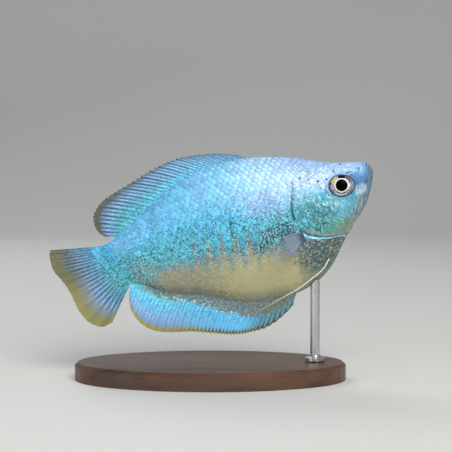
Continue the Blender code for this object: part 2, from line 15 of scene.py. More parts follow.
import bpy
import numpy as np
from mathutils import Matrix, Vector


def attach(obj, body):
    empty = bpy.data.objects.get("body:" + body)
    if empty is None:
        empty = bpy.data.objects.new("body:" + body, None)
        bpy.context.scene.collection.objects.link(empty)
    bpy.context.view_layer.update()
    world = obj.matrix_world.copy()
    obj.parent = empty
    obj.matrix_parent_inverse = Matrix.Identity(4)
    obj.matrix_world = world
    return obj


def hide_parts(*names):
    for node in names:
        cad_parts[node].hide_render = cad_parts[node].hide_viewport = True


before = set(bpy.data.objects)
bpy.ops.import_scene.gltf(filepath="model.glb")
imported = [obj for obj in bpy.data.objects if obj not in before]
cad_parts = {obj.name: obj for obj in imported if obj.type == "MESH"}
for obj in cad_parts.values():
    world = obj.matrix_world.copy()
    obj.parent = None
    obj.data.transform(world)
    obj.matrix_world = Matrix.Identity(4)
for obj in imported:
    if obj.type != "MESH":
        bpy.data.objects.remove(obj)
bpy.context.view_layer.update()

LOG = logging.getLogger("dwarf_gourami")
MM = 0.001
PHOTO_SIDE = 452  # pixels, both ways

Array = np.ndarray
Socket = bpy.types.NodeSocket
Pairs = Sequence[tuple[float, float]]

# The body, as (distance behind the mouth, value), the same as in the part's source
LIP_TIP = -0.5
BODY_LENGTH = 62.0
PITCH = math.radians(20.0)  # nose up
FLESH_END = 64.4  # the flesh thins out inside the base of the tail fin
BACK_LINE = (
    (LIP_TIP, 1.3), (0.0, 2.75), (0.7, 3.5), (1.8, 4.05), (3.7, 4.8), (7.0, 5.85), (11.0, 7.7),
    (16.0, 10.4), (22.0, 12.65), (28.0, 14.2), (34.5, 15.05), (42.0, 13.9), (50.0, 11.0), (58.0, 7.1),
    (62.0, 6.0),
)
BELLY_LINE = (
    (LIP_TIP, 1.3), (0.0, -0.3), (0.8, -1.8), (1.8, -3.3), (3.7, -5.75), (7.0, -8.4), (11.0, -11.8),
    (16.0, -16.45), (20.0, -18.4), (25.0, -19.3), (31.0, -19.0), (36.0, -17.9), (41.0, -15.4),
    (46.0, -12.4), (53.5, -9.3), (58.0, -5.9), (62.0, -4.0),
)
HALF_WIDTH = (
    (LIP_TIP, 0.0), (0.0, 0.95), (0.8, 1.5), (1.8, 2.0), (3.7, 2.75), (7.0, 3.6), (11.0, 4.35),
    (16.0, 5.0), (25.0, 5.4), (34.0, 4.95), (42.0, 4.05), (50.0, 2.9), (58.0, 1.75), (62.0, 1.2),
)
WIDEST_AT = (
    (LIP_TIP, 1.3), (1.8, 0.6), (3.7, -0.2), (9.0, -0.9), (16.0, -1.8), (25.0, -0.8), (34.0, 0.8),
    (46.0, 1.4), (62.0, 0.9),
)
UPPER_TAPER = ((0.0, 0.5), (11.0, 0.5), (25.0, 0.6), (62.0, 0.6))  # 0.5 is an ellipse, 1 a lens
LOWER_TAPER = ((0.0, 0.5), (7.0, 0.55), (16.0, 0.7), (31.0, 0.8), (50.0, 0.7), (62.0, 0.6))
TAIL_LEAN_FROM = 48.0  # behind this the sections lean back with the root of the tail fin
TAIL_LEAN = 0.27

# Edges on the head, as (height, distance behind the snout)
JAW_EDGE = (
    (-9.5, 7.3), (-7.7, 6.1), (-5.7, 5.15), (-3.8, 4.15), (-2.1, 3.0), (0.15, 1.95), (2.1, 1.45),
    (3.15, 1.3), (6.0, 1.1),
)
HEAD_EDGE = (
    (-11.5, 7.6), (-10.3, 9.6), (-9.95, 11.2), (-9.75, 12.3), (-9.25, 14.1), (-8.4, 16.2),
    (-7.0, 18.3), (-4.9, 19.9), (-2.4, 20.1), (1.2, 19.3), (4.6, 18.0), (8.0, 17.0), (14.0, 16.3),
)
CHEEK_EDGE = (
    (-9.3, 14.9), (-8.6, 12.9), (-6.2, 11.3), (-2.5, 10.9), (1.0, 12.1), (3.4, 14.6), (4.2, 17.4),
)

# Head
EYE_BACK, EYE_UP = 7.6, 0.43
EYE_LENGTH_RADIUS, EYE_HEIGHT_RADIUS = 3.0, 2.5  # level and upright in the model's frame
EYE_DEPTH_RADIUS, EYE_STANDS_OUT = 1.75, 0.55
EYE_RADIUS = 2.75  # the mean of the two, in which distances from the eye are given
NOSTRILS = ((3.0, 3.1, 0.3), (4.7, 3.0, 0.34))  # back, up, radius
MOUTH_CORNER = -1.2
GILL_TOP = 4.2

# Fins: the share of the base at which a ray stands, and where its tip is (back, up)
DORSAL_BASE = (24.4, 58.8)
DORSAL_TIPS = (
    (0.0, 27.5, 15.1), (0.08, 32.4, 17.2), (0.2, 36.9, 18.4), (0.32, 41.6, 19.1), (0.44, 46.4, 18.7),
    (0.56, 51.6, 17.6), (0.67, 56.3, 16.6), (0.75, 59.6, 15.7), (0.82, 62.0, 14.2), (0.88, 63.2, 12.5),
    (0.93, 63.4, 10.6), (0.97, 62.9, 9.0), (1.0, 61.9, 7.8),
)
ANAL_BASE = (24.6, 59.8)
ANAL_TIPS = (
    (0.0, 26.9, -21.5), (0.037, 29.8, -23.0), (0.075, 32.7, -24.0), (0.11, 35.2, -24.4),
    (0.16, 37.6, -24.2), (0.26, 40.6, -23.8), (0.36, 43.6, -22.8), (0.47, 47.2, -21.2),
    (0.57, 50.8, -19.5), (0.66, 54.4, -18.3), (0.74, 57.6, -17.0), (0.81, 60.0, -15.2),
    (0.87, 61.3, -13.2), (0.92, 61.9, -11.2), (0.96, 62.1, -9.4), (1.0, 61.6, -7.4),
)
TAIL_TIPS = (
    (0.0, 75.2, 9.2), (0.12, 75.9, 7.6), (0.27, 76.1, 5.0), (0.42, 75.0, 1.5), (0.57, 74.2, -2.0),
    (0.68, 73.9, -5.2), (0.78, 73.2, -8.2), (0.87, 71.6, -10.6), (0.94, 69.6, -11.7), (1.0, 67.5, -11.4),
)
PECTORAL_ROOT = (20.4, -7.3)
PECTORAL_DIRECTION = Vector((0.72, 0.68, -0.12))  # back, out, up
FEELER_PATH = (
    (15.8, 2.9, -14.1), (18.3, 2.8, -16.0), (21.0, 2.6, -17.0), (24.5, 2.4, -18.1), (29.0, 2.15, -18.9),
    (33.0, 1.95, -19.6), (37.0, 1.8, -20.6),
)


class Side(Enum):
    """The fish's own left and right, as the sign of the side axis."""

    LEFT = 1.0
    RIGHT = -1.0

    @property
    def word(self) -> str:
        """The side's name in lower case, as nodes use it."""
        return self.name.lower()


def smooth(low: float, high: float, at: Array | float) -> Array:
    """A smooth step from 0 at low to 1 at high, either of which may be the larger."""
    share = np.clip((np.asarray(at, float) - low) / (high - low), 0.0, 1.0)
    return share * share * (3.0 - 2.0 * share)


def hump(at: Array, width: float) -> Array:
    """A rounded hump of height 1 at zero, which falls off over width."""
    return np.exp(-((at / width) ** 2))


def eye_distance(back: Array, up: Array) -> Array:
    """How far points lie from the middle of the oval eye.

    Args:
        back: their distances behind the snout.
        up: their heights.

    Returns:
        The distances, scaled so that the eye's edge is at EYE_RADIUS all round.
    """
    back, up = back - EYE_BACK, up - EYE_UP
    level = (back * math.cos(PITCH) + up * math.sin(PITCH)) / EYE_LENGTH_RADIUS
    upright = (up * math.cos(PITCH) - back * math.sin(PITCH)) / EYE_HEIGHT_RADIUS
    return EYE_RADIUS * np.hypot(level, upright)


class Curve:
    """A smooth line through (where, value) pairs that never overshoots them."""

    def __init__(self, pairs: Pairs, bend: float = 1.0) -> None:
        """Fits the line.

        Args:
            pairs: the points, in order of where.
            bend: under 1 it rounds the first stretch, as at the tip of a snout.
        """
        self.bend = bend
        self.first = pairs[0][0]
        self.where = (np.array([where for where, _ in pairs]) - self.first) ** bend
        self.value = np.array([value for _, value in pairs])
        rises = np.diff(self.value) / np.diff(self.where)
        both = rises[:-1] * rises[1:]
        total = rises[:-1] + rises[1:]
        inner = np.where(both > 0.0, 2.0 * both / np.where(both > 0.0, total, 1.0), 0.0)
        self.slope = np.concatenate([rises[:1], inner, rises[-1:]])

    def __call__(self, at: Array | float) -> Array:
        """Reads the line.

        Args:
            at: one or many places.

        Returns:
            Its values there.
        """
        bent = np.maximum(np.asarray(at, float) - self.first, 0.0) ** self.bend
        i = np.clip(np.searchsorted(self.where, bent, side="right") - 1, 0, len(self.where) - 2)
        step = self.where[i + 1] - self.where[i]
        t = np.clip((bent - self.where[i]) / step, 0.0, 1.0)
        rise = self.value[i + 1] - self.value[i]
        before = step * self.slope[i] - rise
        after = rise - step * self.slope[i + 1]
        return self.value[i] + rise * t + t * (1 - t) * (before * (1 - t) + after * t)


@dataclass(frozen=True)
class Pose:
    """How the fish's own frame stands in the model's frame."""

    pitch: float = PITCH
    snout_x: float = 36.9
    snout_z: float = 46.4

    def place(self, points: Array) -> Array:
        """Turns points of the fish's frame into the model's.

        Args:
            points: (..., 3) back, side and up in millimetres.

        Returns:
            (..., 3) x, y and z in metres.
        """
        back, side, up = points[..., 0], points[..., 1], points[..., 2]
        x = self.snout_x - back * math.cos(self.pitch) - up * math.sin(self.pitch)
        z = self.snout_z - back * math.sin(self.pitch) + up * math.cos(self.pitch)
        return np.stack([x, side, z], axis=-1) * MM


POSE = Pose()


def gill_distance(back: Array, up: Array) -> Array:
    """How far in front of the rear edge of the gill covers points lie."""
    return Curve(HEAD_EDGE)(up) - back


@dataclass(frozen=True)
class HeadRelief:
    """The folds and plates of the head at some points, as heights over the smooth body in millimetres."""

    back: Array  # the points' distances behind the snout
    up: Array  # and their heights
    flap_rise: float = 0.2
    flap_edge: float = 0.22
    flap_length: float = 4.5
    trough: float = 0.2
    trough_length: float = 0.7
    cheek_groove: float = 0.1
    groove_width: float = 0.28
    lip_rise: float = 0.2
    cleft_depth: float = 0.45
    cleft_width: float = 0.13
    jaw_fold: float = 0.12
    orbit_depth: float = 1.25
    orbit_rim: float = 0.12
    socket: float = 0.06
    nostril_depth: float = 0.4
    nostril_rim: float = 0.1
    brow_rise: float = 0.1
    fin_root: float = 0.25

    def gill_cover(self) -> Array:
        """The flap of the gill cover, with the trough behind it and the cheek's groove in front.

        Returns:
            Their height.
        """
        ahead = gill_distance(self.back, self.up)
        flap = self.flap_rise * smooth(0.0, self.flap_edge, ahead)
        flap = flap * np.exp(-np.maximum(ahead, 0.0) / self.flap_length)
        trough = -self.trough * np.exp(-np.maximum(-ahead, 0.0) / self.trough_length)
        trough = trough * (1 - smooth(-0.05, 0.1, ahead))
        behind_cheek = self.back - Curve(CHEEK_EDGE)(self.up)
        groove = -self.cheek_groove * hump(behind_cheek, self.groove_width)
        groove = groove + 0.6 * self.cheek_groove * hump(behind_cheek + 0.6, 0.5)
        groove = groove * smooth(-9.3, -8.3, self.up) * (1 - smooth(2.8, 4.0, self.up))
        return (flap + trough) * (1 - smooth(GILL_TOP - 0.6, GILL_TOP + 2.2, self.up)) + groove

    def mouth(self) -> Array:
        """The cleft of the mouth between two lips, and the fold that runs on down the jaw.

        Returns:
            Their height.
        """
        off = self.back - Curve(JAW_EDGE)(self.up)
        lips = smooth(MOUTH_CORNER - 0.7, MOUTH_CORNER + 0.5, self.up)
        cleft = -self.cleft_depth * hump(off, self.cleft_width)
        rolls = self.lip_rise * (hump(off - 0.48, 0.34) + hump(off + 0.5, 0.36))
        fold = -self.jaw_fold * hump(off, 0.25) * (1 - lips) * smooth(-6.5, -4.0, self.up)
        return (cleft + rolls) * lips + fold

    def orbit(self) -> Array:
        """The hollow that the eye sits in, with a low rim of skin round it and the brow over it.

        Returns:
            Their height.
        """
        off = eye_distance(self.back, self.up) - EYE_RADIUS
        hollow = -self.orbit_depth * (1 - smooth(-0.2, 0.06, off))
        rim = self.orbit_rim * hump(off - 0.36, 0.26) - self.socket * hump(off - 1.1, 0.45)
        brow = np.hypot((self.back - EYE_BACK) / 1.6, self.up - EYE_UP - 3.4)
        return hollow + rim + self.brow_rise * hump(brow, 0.8)

    def nostrils(self) -> Array:
        """Two small pits with raised rims in front of the eye.

        Returns:
            Their height.
        """
        total = np.zeros_like(self.back)
        for back, up, radius in NOSTRILS:
            off = np.hypot(self.back - back, self.up - up)
            total = total - self.nostril_depth * hump(off, radius * 0.8)
            total = total + self.nostril_rim * hump(off - radius * 1.35, 0.16)
        return total

    def height(self) -> Array:
        """All of the relief, with the root of the pectoral fin."""
        root = hump(np.hypot(self.back - PECTORAL_ROOT[0], (self.up - PECTORAL_ROOT[1]) / 1.5), 1.1)
        return self.gill_cover() + self.mouth() + self.orbit() + self.nostrils() + self.fin_root * root


class BodyShape:
    """The body's smooth shape with the head's relief, and points on it."""

    coat_depth: float = 0.12  # how far the skin lies inside the solids

    def __init__(self) -> None:
        """Fits the body's lines."""
        self.back = Curve(BACK_LINE, 0.5)
        self.belly = Curve(BELLY_LINE, 0.5)
        self.half_width = Curve(HALF_WIDTH, 0.5)
        self.widest_at = Curve(WIDEST_AT, 0.5)
        self.upper_taper = Curve(UPPER_TAPER)
        self.lower_taper = Curve(LOWER_TAPER)

    def smooth_points(self, back: Array, angle: Array) -> Array:
        """Points of the smooth body.

        Args:
            back: stations behind the snout.
            angle: angles round the section, from 0 at the widest line to a quarter turn at the back.

        Returns:
            (..., 3) points of the fish's frame.
        """
        back, angle = np.broadcast_arrays(np.asarray(back, float), np.asarray(angle, float))
        middle = self.widest_at(back)
        over = np.sin(angle) >= 0.0
        edge = np.where(over, self.back(back), self.belly(back))
        taper = np.where(over, self.upper_taper(back), self.lower_taper(back))
        up = middle + (edge - middle) * np.abs(np.sin(angle))
        side = self.half_width(back) * np.abs(np.cos(angle)) ** (2.0 * taper) * np.sign(np.cos(angle))
        side = side * (1 - 0.98 * smooth(BODY_LENGTH - 5.0, FLESH_END - 0.6, back))
        return np.stack([back + self.lean(back, up), side, up], axis=-1)

    def lean(self, back: Array, up: Array) -> Array:
        """How far behind its station a point of a section lies, which grows towards the tail."""
        share = np.maximum(0.0, (back - TAIL_LEAN_FROM) / (BODY_LENGTH - TAIL_LEAN_FROM))
        return TAIL_LEAN * share * share * (up - self.widest_at(BODY_LENGTH))

    def side_at(self, back: float, up: float) -> float:
        """Half the body's width.

        Args:
            back: a distance behind the snout.
            up: a height.

        Returns:
            The distance from the middle of the body to its flank there.
        """
        middle = float(self.widest_at(back))
        edge = float(self.back(back) if up > middle else self.belly(back))
        share = max(-1.0, min((up - middle) / abs(edge - middle), 1.0))
        return float(self.smooth_points(back, math.asin(share))[1])

    def surface(self, back: Array, angle: Array, lift: Array | float = 0.0) -> Array:
        """Points of the skin with its relief, raised by lift along the skin's own normals.

        Args:
            back: stations behind the snout.
            angle: angles round the section.
            lift: height over the skin.

        Returns:
            (..., 3) points of the fish's frame.
        """
        base = self.smooth_points(back, angle)
        reach, turn = 0.04, 0.012
        round_it = self.smooth_points(back, angle + turn) - self.smooth_points(back, angle - turn)
        low = np.maximum(back - reach, LIP_TIP + 0.005)
        along = self.smooth_points(back + reach, angle) - self.smooth_points(low, angle)
        normal = np.cross(round_it, along)
        outwards = base[..., 1] * normal[..., 1] + (base[..., 2] - self.widest_at(back)) * normal[..., 2]
        normal = normal * np.sign(outwards)[..., None]
        normal = normal / np.maximum(np.linalg.norm(normal, axis=-1, keepdims=True), 1e-9)
        rise = HeadRelief(base[..., 0], base[..., 2]).height()
        fade = smooth(LIP_TIP, LIP_TIP + 0.5, back)
        return base + normal * (rise * fade - self.coat_depth + lift)[..., None]

    def marks(self, back: Array, angle: Array) -> tuple[Array, Array]:
        """What the shaders read at points of the skin.

        Args:
            back: stations behind the snout.
            angle: angles round the section.

        Returns:
            The place in the fish's frame, and (share of the way from belly to back, distance in
            front of the gill cover's edge, distance from the eye).
        """
        place = self.smooth_points(back, angle)
        up = place[..., 2]
        low, high = self.belly(back), self.back(back)
        rise = (up - low) / np.maximum(high - low, 0.1)
        gill = gill_distance(place[..., 0], up)
        return place, np.stack([rise, gill, eye_distance(place[..., 0], up)], axis=-1)

    @staticmethod
    def unwrap(back: Array, angle: Array, side: Side = Side.LEFT) -> Array:
        """Finds places on the unwrap of the skin.

        Args:
            back: stations behind the snout.
            angle: angles round the section.
            side: the side of the fish that they are on.

        Returns:
            (..., 2) places: back along the skin, and round it from the belly line.
        """
        turn = angle if side is Side.LEFT else math.pi - angle
        across = (turn + math.pi / 2.0) / (2.0 * math.pi)
        return np.stack([0.005 + 0.99 * (back - LIP_TIP) / (FLESH_END - LIP_TIP), across], axis=-1)


BODY = BodyShape()


class GirthMap:
    """Turns a distance round the flank, from its widest line, into an angle of the section."""

    step: float = 0.25  # from one measured section to the next
    samples: int = 241  # points of a section

    def __init__(self) -> None:
        """Measures sections of the body."""
        self.stations = np.arange(0.5, FLESH_END + 3.0 * self.step, self.step)
        self.angles = np.linspace(-math.pi / 2.0, math.pi / 2.0, self.samples)
        points = BODY.smooth_points(self.stations[:, None], self.angles[None, :])
        pieces = np.linalg.norm(np.diff(points, axis=1), axis=-1)
        arcs = np.concatenate([np.zeros((len(self.stations), 1)), np.cumsum(pieces, axis=1)], axis=1)
        self.arcs = arcs - arcs[:, self.samples // 2, None]

    def limits(self, back: float) -> tuple[float, float]:
        """How far it is round the flank from the widest line to the belly and the back.

        Args:
            back: a distance behind the snout.

        Returns:
            The distance down to the belly, which is negative, and the one up to the back.
        """
        i = int(np.clip(round((back - self.stations[0]) / self.step), 0, len(self.stations) - 1))
        return float(self.arcs[i, 0]), float(self.arcs[i, -1])

    def angle(self, back: Array, distance: Array) -> Array:
        """Turns distances round the flank into angles.

        Args:
            back: stations behind the snout.
            distance: distances round the flank from the widest line.

        Returns:
            The angles round the section.
        """
        at = np.clip((back - self.stations[0]) / self.step, 0.0, len(self.stations) - 1.001)
        first = at.astype(int)
        found = np.zeros_like(distance)
        for i in np.unique(first):
            here = first == i
            near = np.interp(distance[here], self.arcs[i], self.angles)
            far = np.interp(distance[here], self.arcs[i + 1], self.angles)
            share = at[here] - i
            found[here] = near * (1 - share) + far * share
        return found


@dataclass
class MeshPlan:
    """A mesh in the making: its points, faces, map and what its shaders read."""

    points: Array
    faces: list[Sequence[int]]
    corners: Array | None = None  # (number of face corners, 2) places on the OFBake map
    numbers: dict[str, Array] | None = None
    vectors: dict[str, Array] | None = None
    pose: Pose | None = POSE  # None where the points are in the model's frame already

    def make(self, name: str, finish: bpy.types.Material, sharp: float = 40.0) -> bpy.types.Object:
        """Makes the object.

        Args:
            name: the piece's name.
            finish: its material.
            sharp: the angle in degrees past which an edge stays sharp.

        Returns:
            The object, linked to the scene.
        """
        mesh = bpy.data.meshes.new(name)
        points = self.pose.place(self.points) if self.pose else self.points
        mesh.from_pydata(points.reshape(-1, 3).tolist(), [], self.faces)
        tables = (("FLOAT", "value", self.numbers), ("FLOAT_VECTOR", "vector", self.vectors))
        for kind, field, table in tables:
            for key, values in (table or {}).items():
                made = mesh.attributes.new(key, kind, "POINT")
                made.data.foreach_set(field, values.astype(np.float32).ravel())
        if self.corners is not None:
            layer = mesh.uv_layers.new(name="OFBake")
            layer.data.foreach_set("uv", self.corners.astype(np.float32).ravel())
        mesh.shade_smooth()
        mesh.set_sharp_from_angle(angle=math.radians(sharp))
        mesh.materials.append(finish)
        obj = bpy.data.objects.new(name, mesh)
        bpy.context.scene.collection.objects.link(obj)
        return obj


def grid_faces(rows: int, columns: int, flip: bool = False) -> Array:
    """The quads of a grid of points stored row by row.

    Args:
        rows: how many rows of points.
        columns: how many points in a row.
        flip: whether the faces look the other way.

    Returns:
        (faces, 4) indices of the points.
    """
    first = np.arange(rows - 1)[:, None] * columns + np.arange(columns - 1)
    quads = first.reshape(-1, 1) + np.array([0, 1, columns + 1, columns])
    return quads[:, ::-1] if flip else quads


def tube_faces(rings: int, sides: int, flip: bool = False) -> tuple[Array, Array]:
    """The quads of rings of points joined into a tube.

    Args:
        rings: how many rings of points.
        sides: how many points in a ring.
        flip: whether the faces look the other way.

    Returns:
        (faces, 4) indices of the points, and the same for a map whose rings have their first point again.
    """
    quads = grid_faces(rings, sides + 1, flip)
    return quads // (sides + 1) * sides + quads % (sides + 1) % sides, quads


def grid_spots(first: Array, second: Array) -> Array:
    """The places of a grid, as (rows * columns, 2) pairs of the two coordinates."""
    return np.stack(np.meshgrid(first, second, indexing="ij"), axis=-1).reshape(-1, 2)


def settle(piece: bpy.types.Object, slot: str, *nodes: str) -> None:
    """Rides a piece on the root body and reports it.

    Args:
        piece: the piece.
        slot: its material slot in the record; not used.
        nodes: the solids that it stands for.
    """
    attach(piece, "root")
    if nodes:
        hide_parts(*nodes)
    triangles = sum(len(face.vertices) - 2 for face in piece.data.polygons)
    LOG.info("%s: %d triangles, stands for %s", piece.name, triangles, ", ".join(nodes) or "nothing")


class Palette(Enum):
    """Display colours, as red, green and blue from 0 to 255."""

    @property
    def linear(self) -> tuple[float, float, float, float]:
        """Converts the colour.

        Returns:
            The linear colour that shaders take, with an alpha of 1.
        """
        parts = [part / 255.0 for part in self.value]
        parts = [p / 12.92 if p <= 0.04045 else ((p + 0.055) / 1.055) ** 2.4 for p in parts]
        return (*parts, 1.0)


def operator(operation: str, swapped: bool = False) -> Callable[..., Value]:
    """Makes a method of Value that adds one Math node.

    Args:
        operation: what the node does.
        swapped: whether the other operand comes first, as in a reflected form.

    Returns:
        The method, which takes the other operand where the node has one.
    """
    def method(self: Value, other: Any = 0.0) -> Value:
        """This value with the other, through the Math node."""
        pair = {0: other, 1: self} if swapped else {0: self, 1: other}
        return Value(self.graph, self.graph.node("ShaderNodeMath", {"operation": operation}, pair).outputs[0])

    return method


class Value:
    """A number that varies over a surface: a socket with arithmetic."""

    def __init__(self, graph: Graph, socket: Socket) -> None:
        """Wraps a socket of a graph."""
        self.graph = graph
        self.socket = socket

    __add__ = __radd__ = operator("ADD")
    __mul__ = __rmul__ = operator("MULTIPLY")
    __sub__ = operator("SUBTRACT")
    __rsub__ = operator("SUBTRACT", swapped=True)
    __pow__ = operator("POWER")
    __abs__ = operator("ABSOLUTE")
    sine = operator("SINE")
    most = operator("MAXIMUM")

    def step(self, low: float, high: float, start: float = 0.0, end: float = 1.0) -> Value:
        """A smooth step from start where this is low to end where it is high.

        Args:
            low: where the step begins. It may be the larger.
            high: where it ends.
            start: the value before it.
            end: the value after it.

        Returns:
            The stepped value.
        """
        if low > high:
            low, high, start, end = high, low, end, start
        feeds = {"Value": self, "From Min": low, "From Max": high, "To Min": start, "To Max": end}
        made = self.graph.node("ShaderNodeMapRange", {"interpolation_type": "SMOOTHSTEP"}, feeds)
        return Value(self.graph, made.outputs[0])

    def between(self, low: float, high: float, soft: float) -> Value:
        """1 from low to high, falling to 0 over soft on both sides."""
        return self.step(low - soft, low) * self.step(high + soft, high)


class Graph:
    """The nodes of one material."""

    def __init__(self, name: str) -> None:
        """Starts a material with an empty graph.

        Args:
            name: the material's name.
        """
        self.material = bpy.data.materials.new(name)
        self.material.use_nodes = True
        self.tree = self.material.node_tree
        self.tree.nodes.clear()

    def node(self, kind: str, settings: dict[str, Any] | None = None,
             feeds: dict[str | int, Any] | None = None) -> bpy.types.Node:
        """Adds a node of any kind.

        Args:
            kind: the node's type.
            settings: its properties, set first. stops sets a ramp's (place, tint) pairs.
            feeds: a value or link for each named or numbered socket.

        Returns:
            The node.
        """
        made = self.tree.nodes.new(kind)
        for key, setting in (settings or {}).items():
            if key == "stops":
                stops = made.color_ramp.elements
                while len(stops) < len(setting):
                    stops.new(1.0)
                for stop, (where, tint) in zip(stops, setting):
                    stop.position = where
                    stop.color = tint.linear
            else:
                setattr(made, key, setting)
        for key, feed in (feeds or {}).items():
            if isinstance(feed, Value):
                feed = feed.socket
            elif isinstance(feed, Palette):
                feed = feed.linear
            if isinstance(feed, Socket):
                self.tree.links.new(feed, made.inputs[key])
            else:
                made.inputs[key].default_value = feed
        return made

    def vector(self, name: str) -> Socket:
        """The vector attribute of this name."""
        return self.node("ShaderNodeAttribute", {"attribute_name": name}).outputs["Vector"]

    def number(self, name: str) -> Value:
        """The number attribute of this name."""
        return Value(self, self.node("ShaderNodeAttribute", {"attribute_name": name}).outputs["Fac"])

    def parts(self, vector: Socket) -> tuple[Value, Value, Value]:
        """The three parts of a vector."""
        made = self.node("ShaderNodeSeparateXYZ", feeds={0: vector})
        return tuple(Value(self, made.outputs[i]) for i in range(3))

    def join(self, first: Any, second: Any, third: Any) -> Socket:
        """A vector of three parts."""
        return self.node("ShaderNodeCombineXYZ", feeds={0: first, 1: second, 2: third}).outputs[0]

    def vector_math(self, operation: str, first: Any, second: Any) -> Socket:
        """Two vectors through a Vector Math node."""
        made = self.node("ShaderNodeVectorMath", {"operation": operation}, {0: first, 1: second})
        return made.outputs[0]

    def scaled(self, vector: Any, factor: Any) -> Socket:
        """A vector or colour times a number."""
        feeds = {0: vector, "Scale": factor}
        return self.node("ShaderNodeVectorMath", {"operation": "SCALE"}, feeds).outputs[0]

    def mix(self, share: Any, first: Any, second: Any) -> Socket:
        """The colour a share of the way from first to second."""
        return self.node("ShaderNodeMix", {"data_type": "RGBA"}, {0: share, 6: first, 7: second}).outputs[2]

    def coats(self, colour: Any, *coats: tuple[Any, Value]) -> Socket:
        """Lays one tint after another on a colour.

        Args:
            colour: what they lie on.
            coats: each tint with its share, the lowest first.

        Returns:
            The colour that shows.
        """
        for tint, share in coats:
            colour = self.mix(share, colour, tint)
        return colour

    def ramp(self, at: Value, bands: Bands) -> Socket:
        """A colour that runs through the bands as at goes from 0 to 1."""
        return self.node("ShaderNodeValToRGB", {"stops": bands}, {0: at}).outputs[0]

    def noise(self, at: Any, scale: float, detail: float = 2.0, rough: float = 0.5) -> Value:
        """Noise from 0 to 1 with scale waves a millimetre."""
        feeds = {"Vector": at, "Scale": scale, "Detail": detail, "Roughness": rough}
        return Value(self, self.node("ShaderNodeTexNoise", feeds=feeds).outputs[0])

    def grain(self, stretch: tuple[float, float, float], detail: float, rough: float = 0.5) -> Value:
        """Noise over a piece without attributes, with stretch waves a metre along each axis."""
        place = self.node("ShaderNodeTexCoord").outputs["Object"]
        return self.noise(self.vector_math("MULTIPLY", place, stretch), 1.0, detail, rough)

    def drift(self, at: Any, scale: float, detail: float) -> Socket:
        """A vector that drifts over a surface.

        Args:
            at: where the noise is read.
            scale: its waves a millimetre.
            detail: its octaves.

        Returns:
            A vector of up to half a unit each way.
        """
        feeds = {"Vector": at, "Scale": scale, "Detail": detail, "Roughness": 0.5}
        noise = self.node("ShaderNodeTexNoise", feeds=feeds).outputs["Color"]
        return self.vector_math("SUBTRACT", noise, (0.5, 0.5, 0.5))

    def cells(self, at: Any, scale: float) -> tuple[Value, Value, Value]:
        """Three random numbers for each cell of a texture, with scale cells a millimetre."""
        made = self.node("ShaderNodeTexVoronoi", {"feature": "F1"}, {"Vector": at, "Scale": scale})
        return self.parts(made.outputs["Color"])

    def cell_edges(self, at: Any, scale: float) -> Value:
        """How far the edges of the cells of such a texture are."""
        settings, feeds = {"feature": "DISTANCE_TO_EDGE"}, {"Vector": at, "Scale": scale}
        return Value(self, self.node("ShaderNodeTexVoronoi", settings, feeds).outputs[0])

    def bump(self, height: Value, distance: float) -> Socket:
        """A normal bent by a height of up to distance millimetres."""
        feeds = {"Height": height, "Distance": distance * MM, "Strength": 1.0}
        return self.node("ShaderNodeBump", feeds=feeds).outputs[0]

    def finish(self, feeds: dict[str, Any]) -> bpy.types.Material:
        """Ends the graph in a Principled shader.

        Args:
            feeds: a value or link for each of its named sockets.

        Returns:
            The material.
        """
        shader = self.node("ShaderNodeBsdfPrincipled", feeds=feeds)
        output = self.node("ShaderNodeOutputMaterial", feeds={0: shader.outputs[0]})
        self.tree.nodes.active = output
        return self.material


class Tint(Palette):
    """The colours of the fish."""

    ICE = (158, 203, 238)
    CROWN = (154, 186, 232)
    PALE_SKY = (112, 188, 236)
    SKY = (88, 182, 228)
    TURQUOISE = (80, 168, 186)
    AQUA = (104, 224, 240)
    LAVENDER = (146, 184, 228)
    LILAC = (122, 154, 202)
    PEARL = (168, 182, 208)
    SNOUT = (50, 110, 164)
    SEA_GREEN = (92, 160, 142)
    TEAL = (34, 86, 102)
    DEEP_WATER = (82, 122, 138)
    INK = (34, 42, 52)
    SLATE = (56, 74, 82)
    TAN = (178, 172, 130)
    BROWN = (142, 138, 116)
    CLAY = (160, 154, 128)
    SAGE = (118, 130, 112)
    KEEL = (146, 150, 132)
    LIP = (88, 118, 144)
    SILVER = (208, 236, 248)
    MIST = (120, 138, 150)
    OLIVE = (156, 151, 82)
    MOSS = (58, 76, 46)
    CLEAR_OLIVE = (112, 110, 72)
    DUSK = (82, 86, 66)
    WEB = (82, 120, 158)
    RAY = (130, 182, 224)
    PLUM = (84, 82, 104)
    CREAM = (216, 218, 202)
    SMOKE = (136, 152, 166)


Bands = Sequence[tuple[float, Tint]]
Coats = list[tuple[Any, Value]]  # each a tint or colour with its share, the lowest first
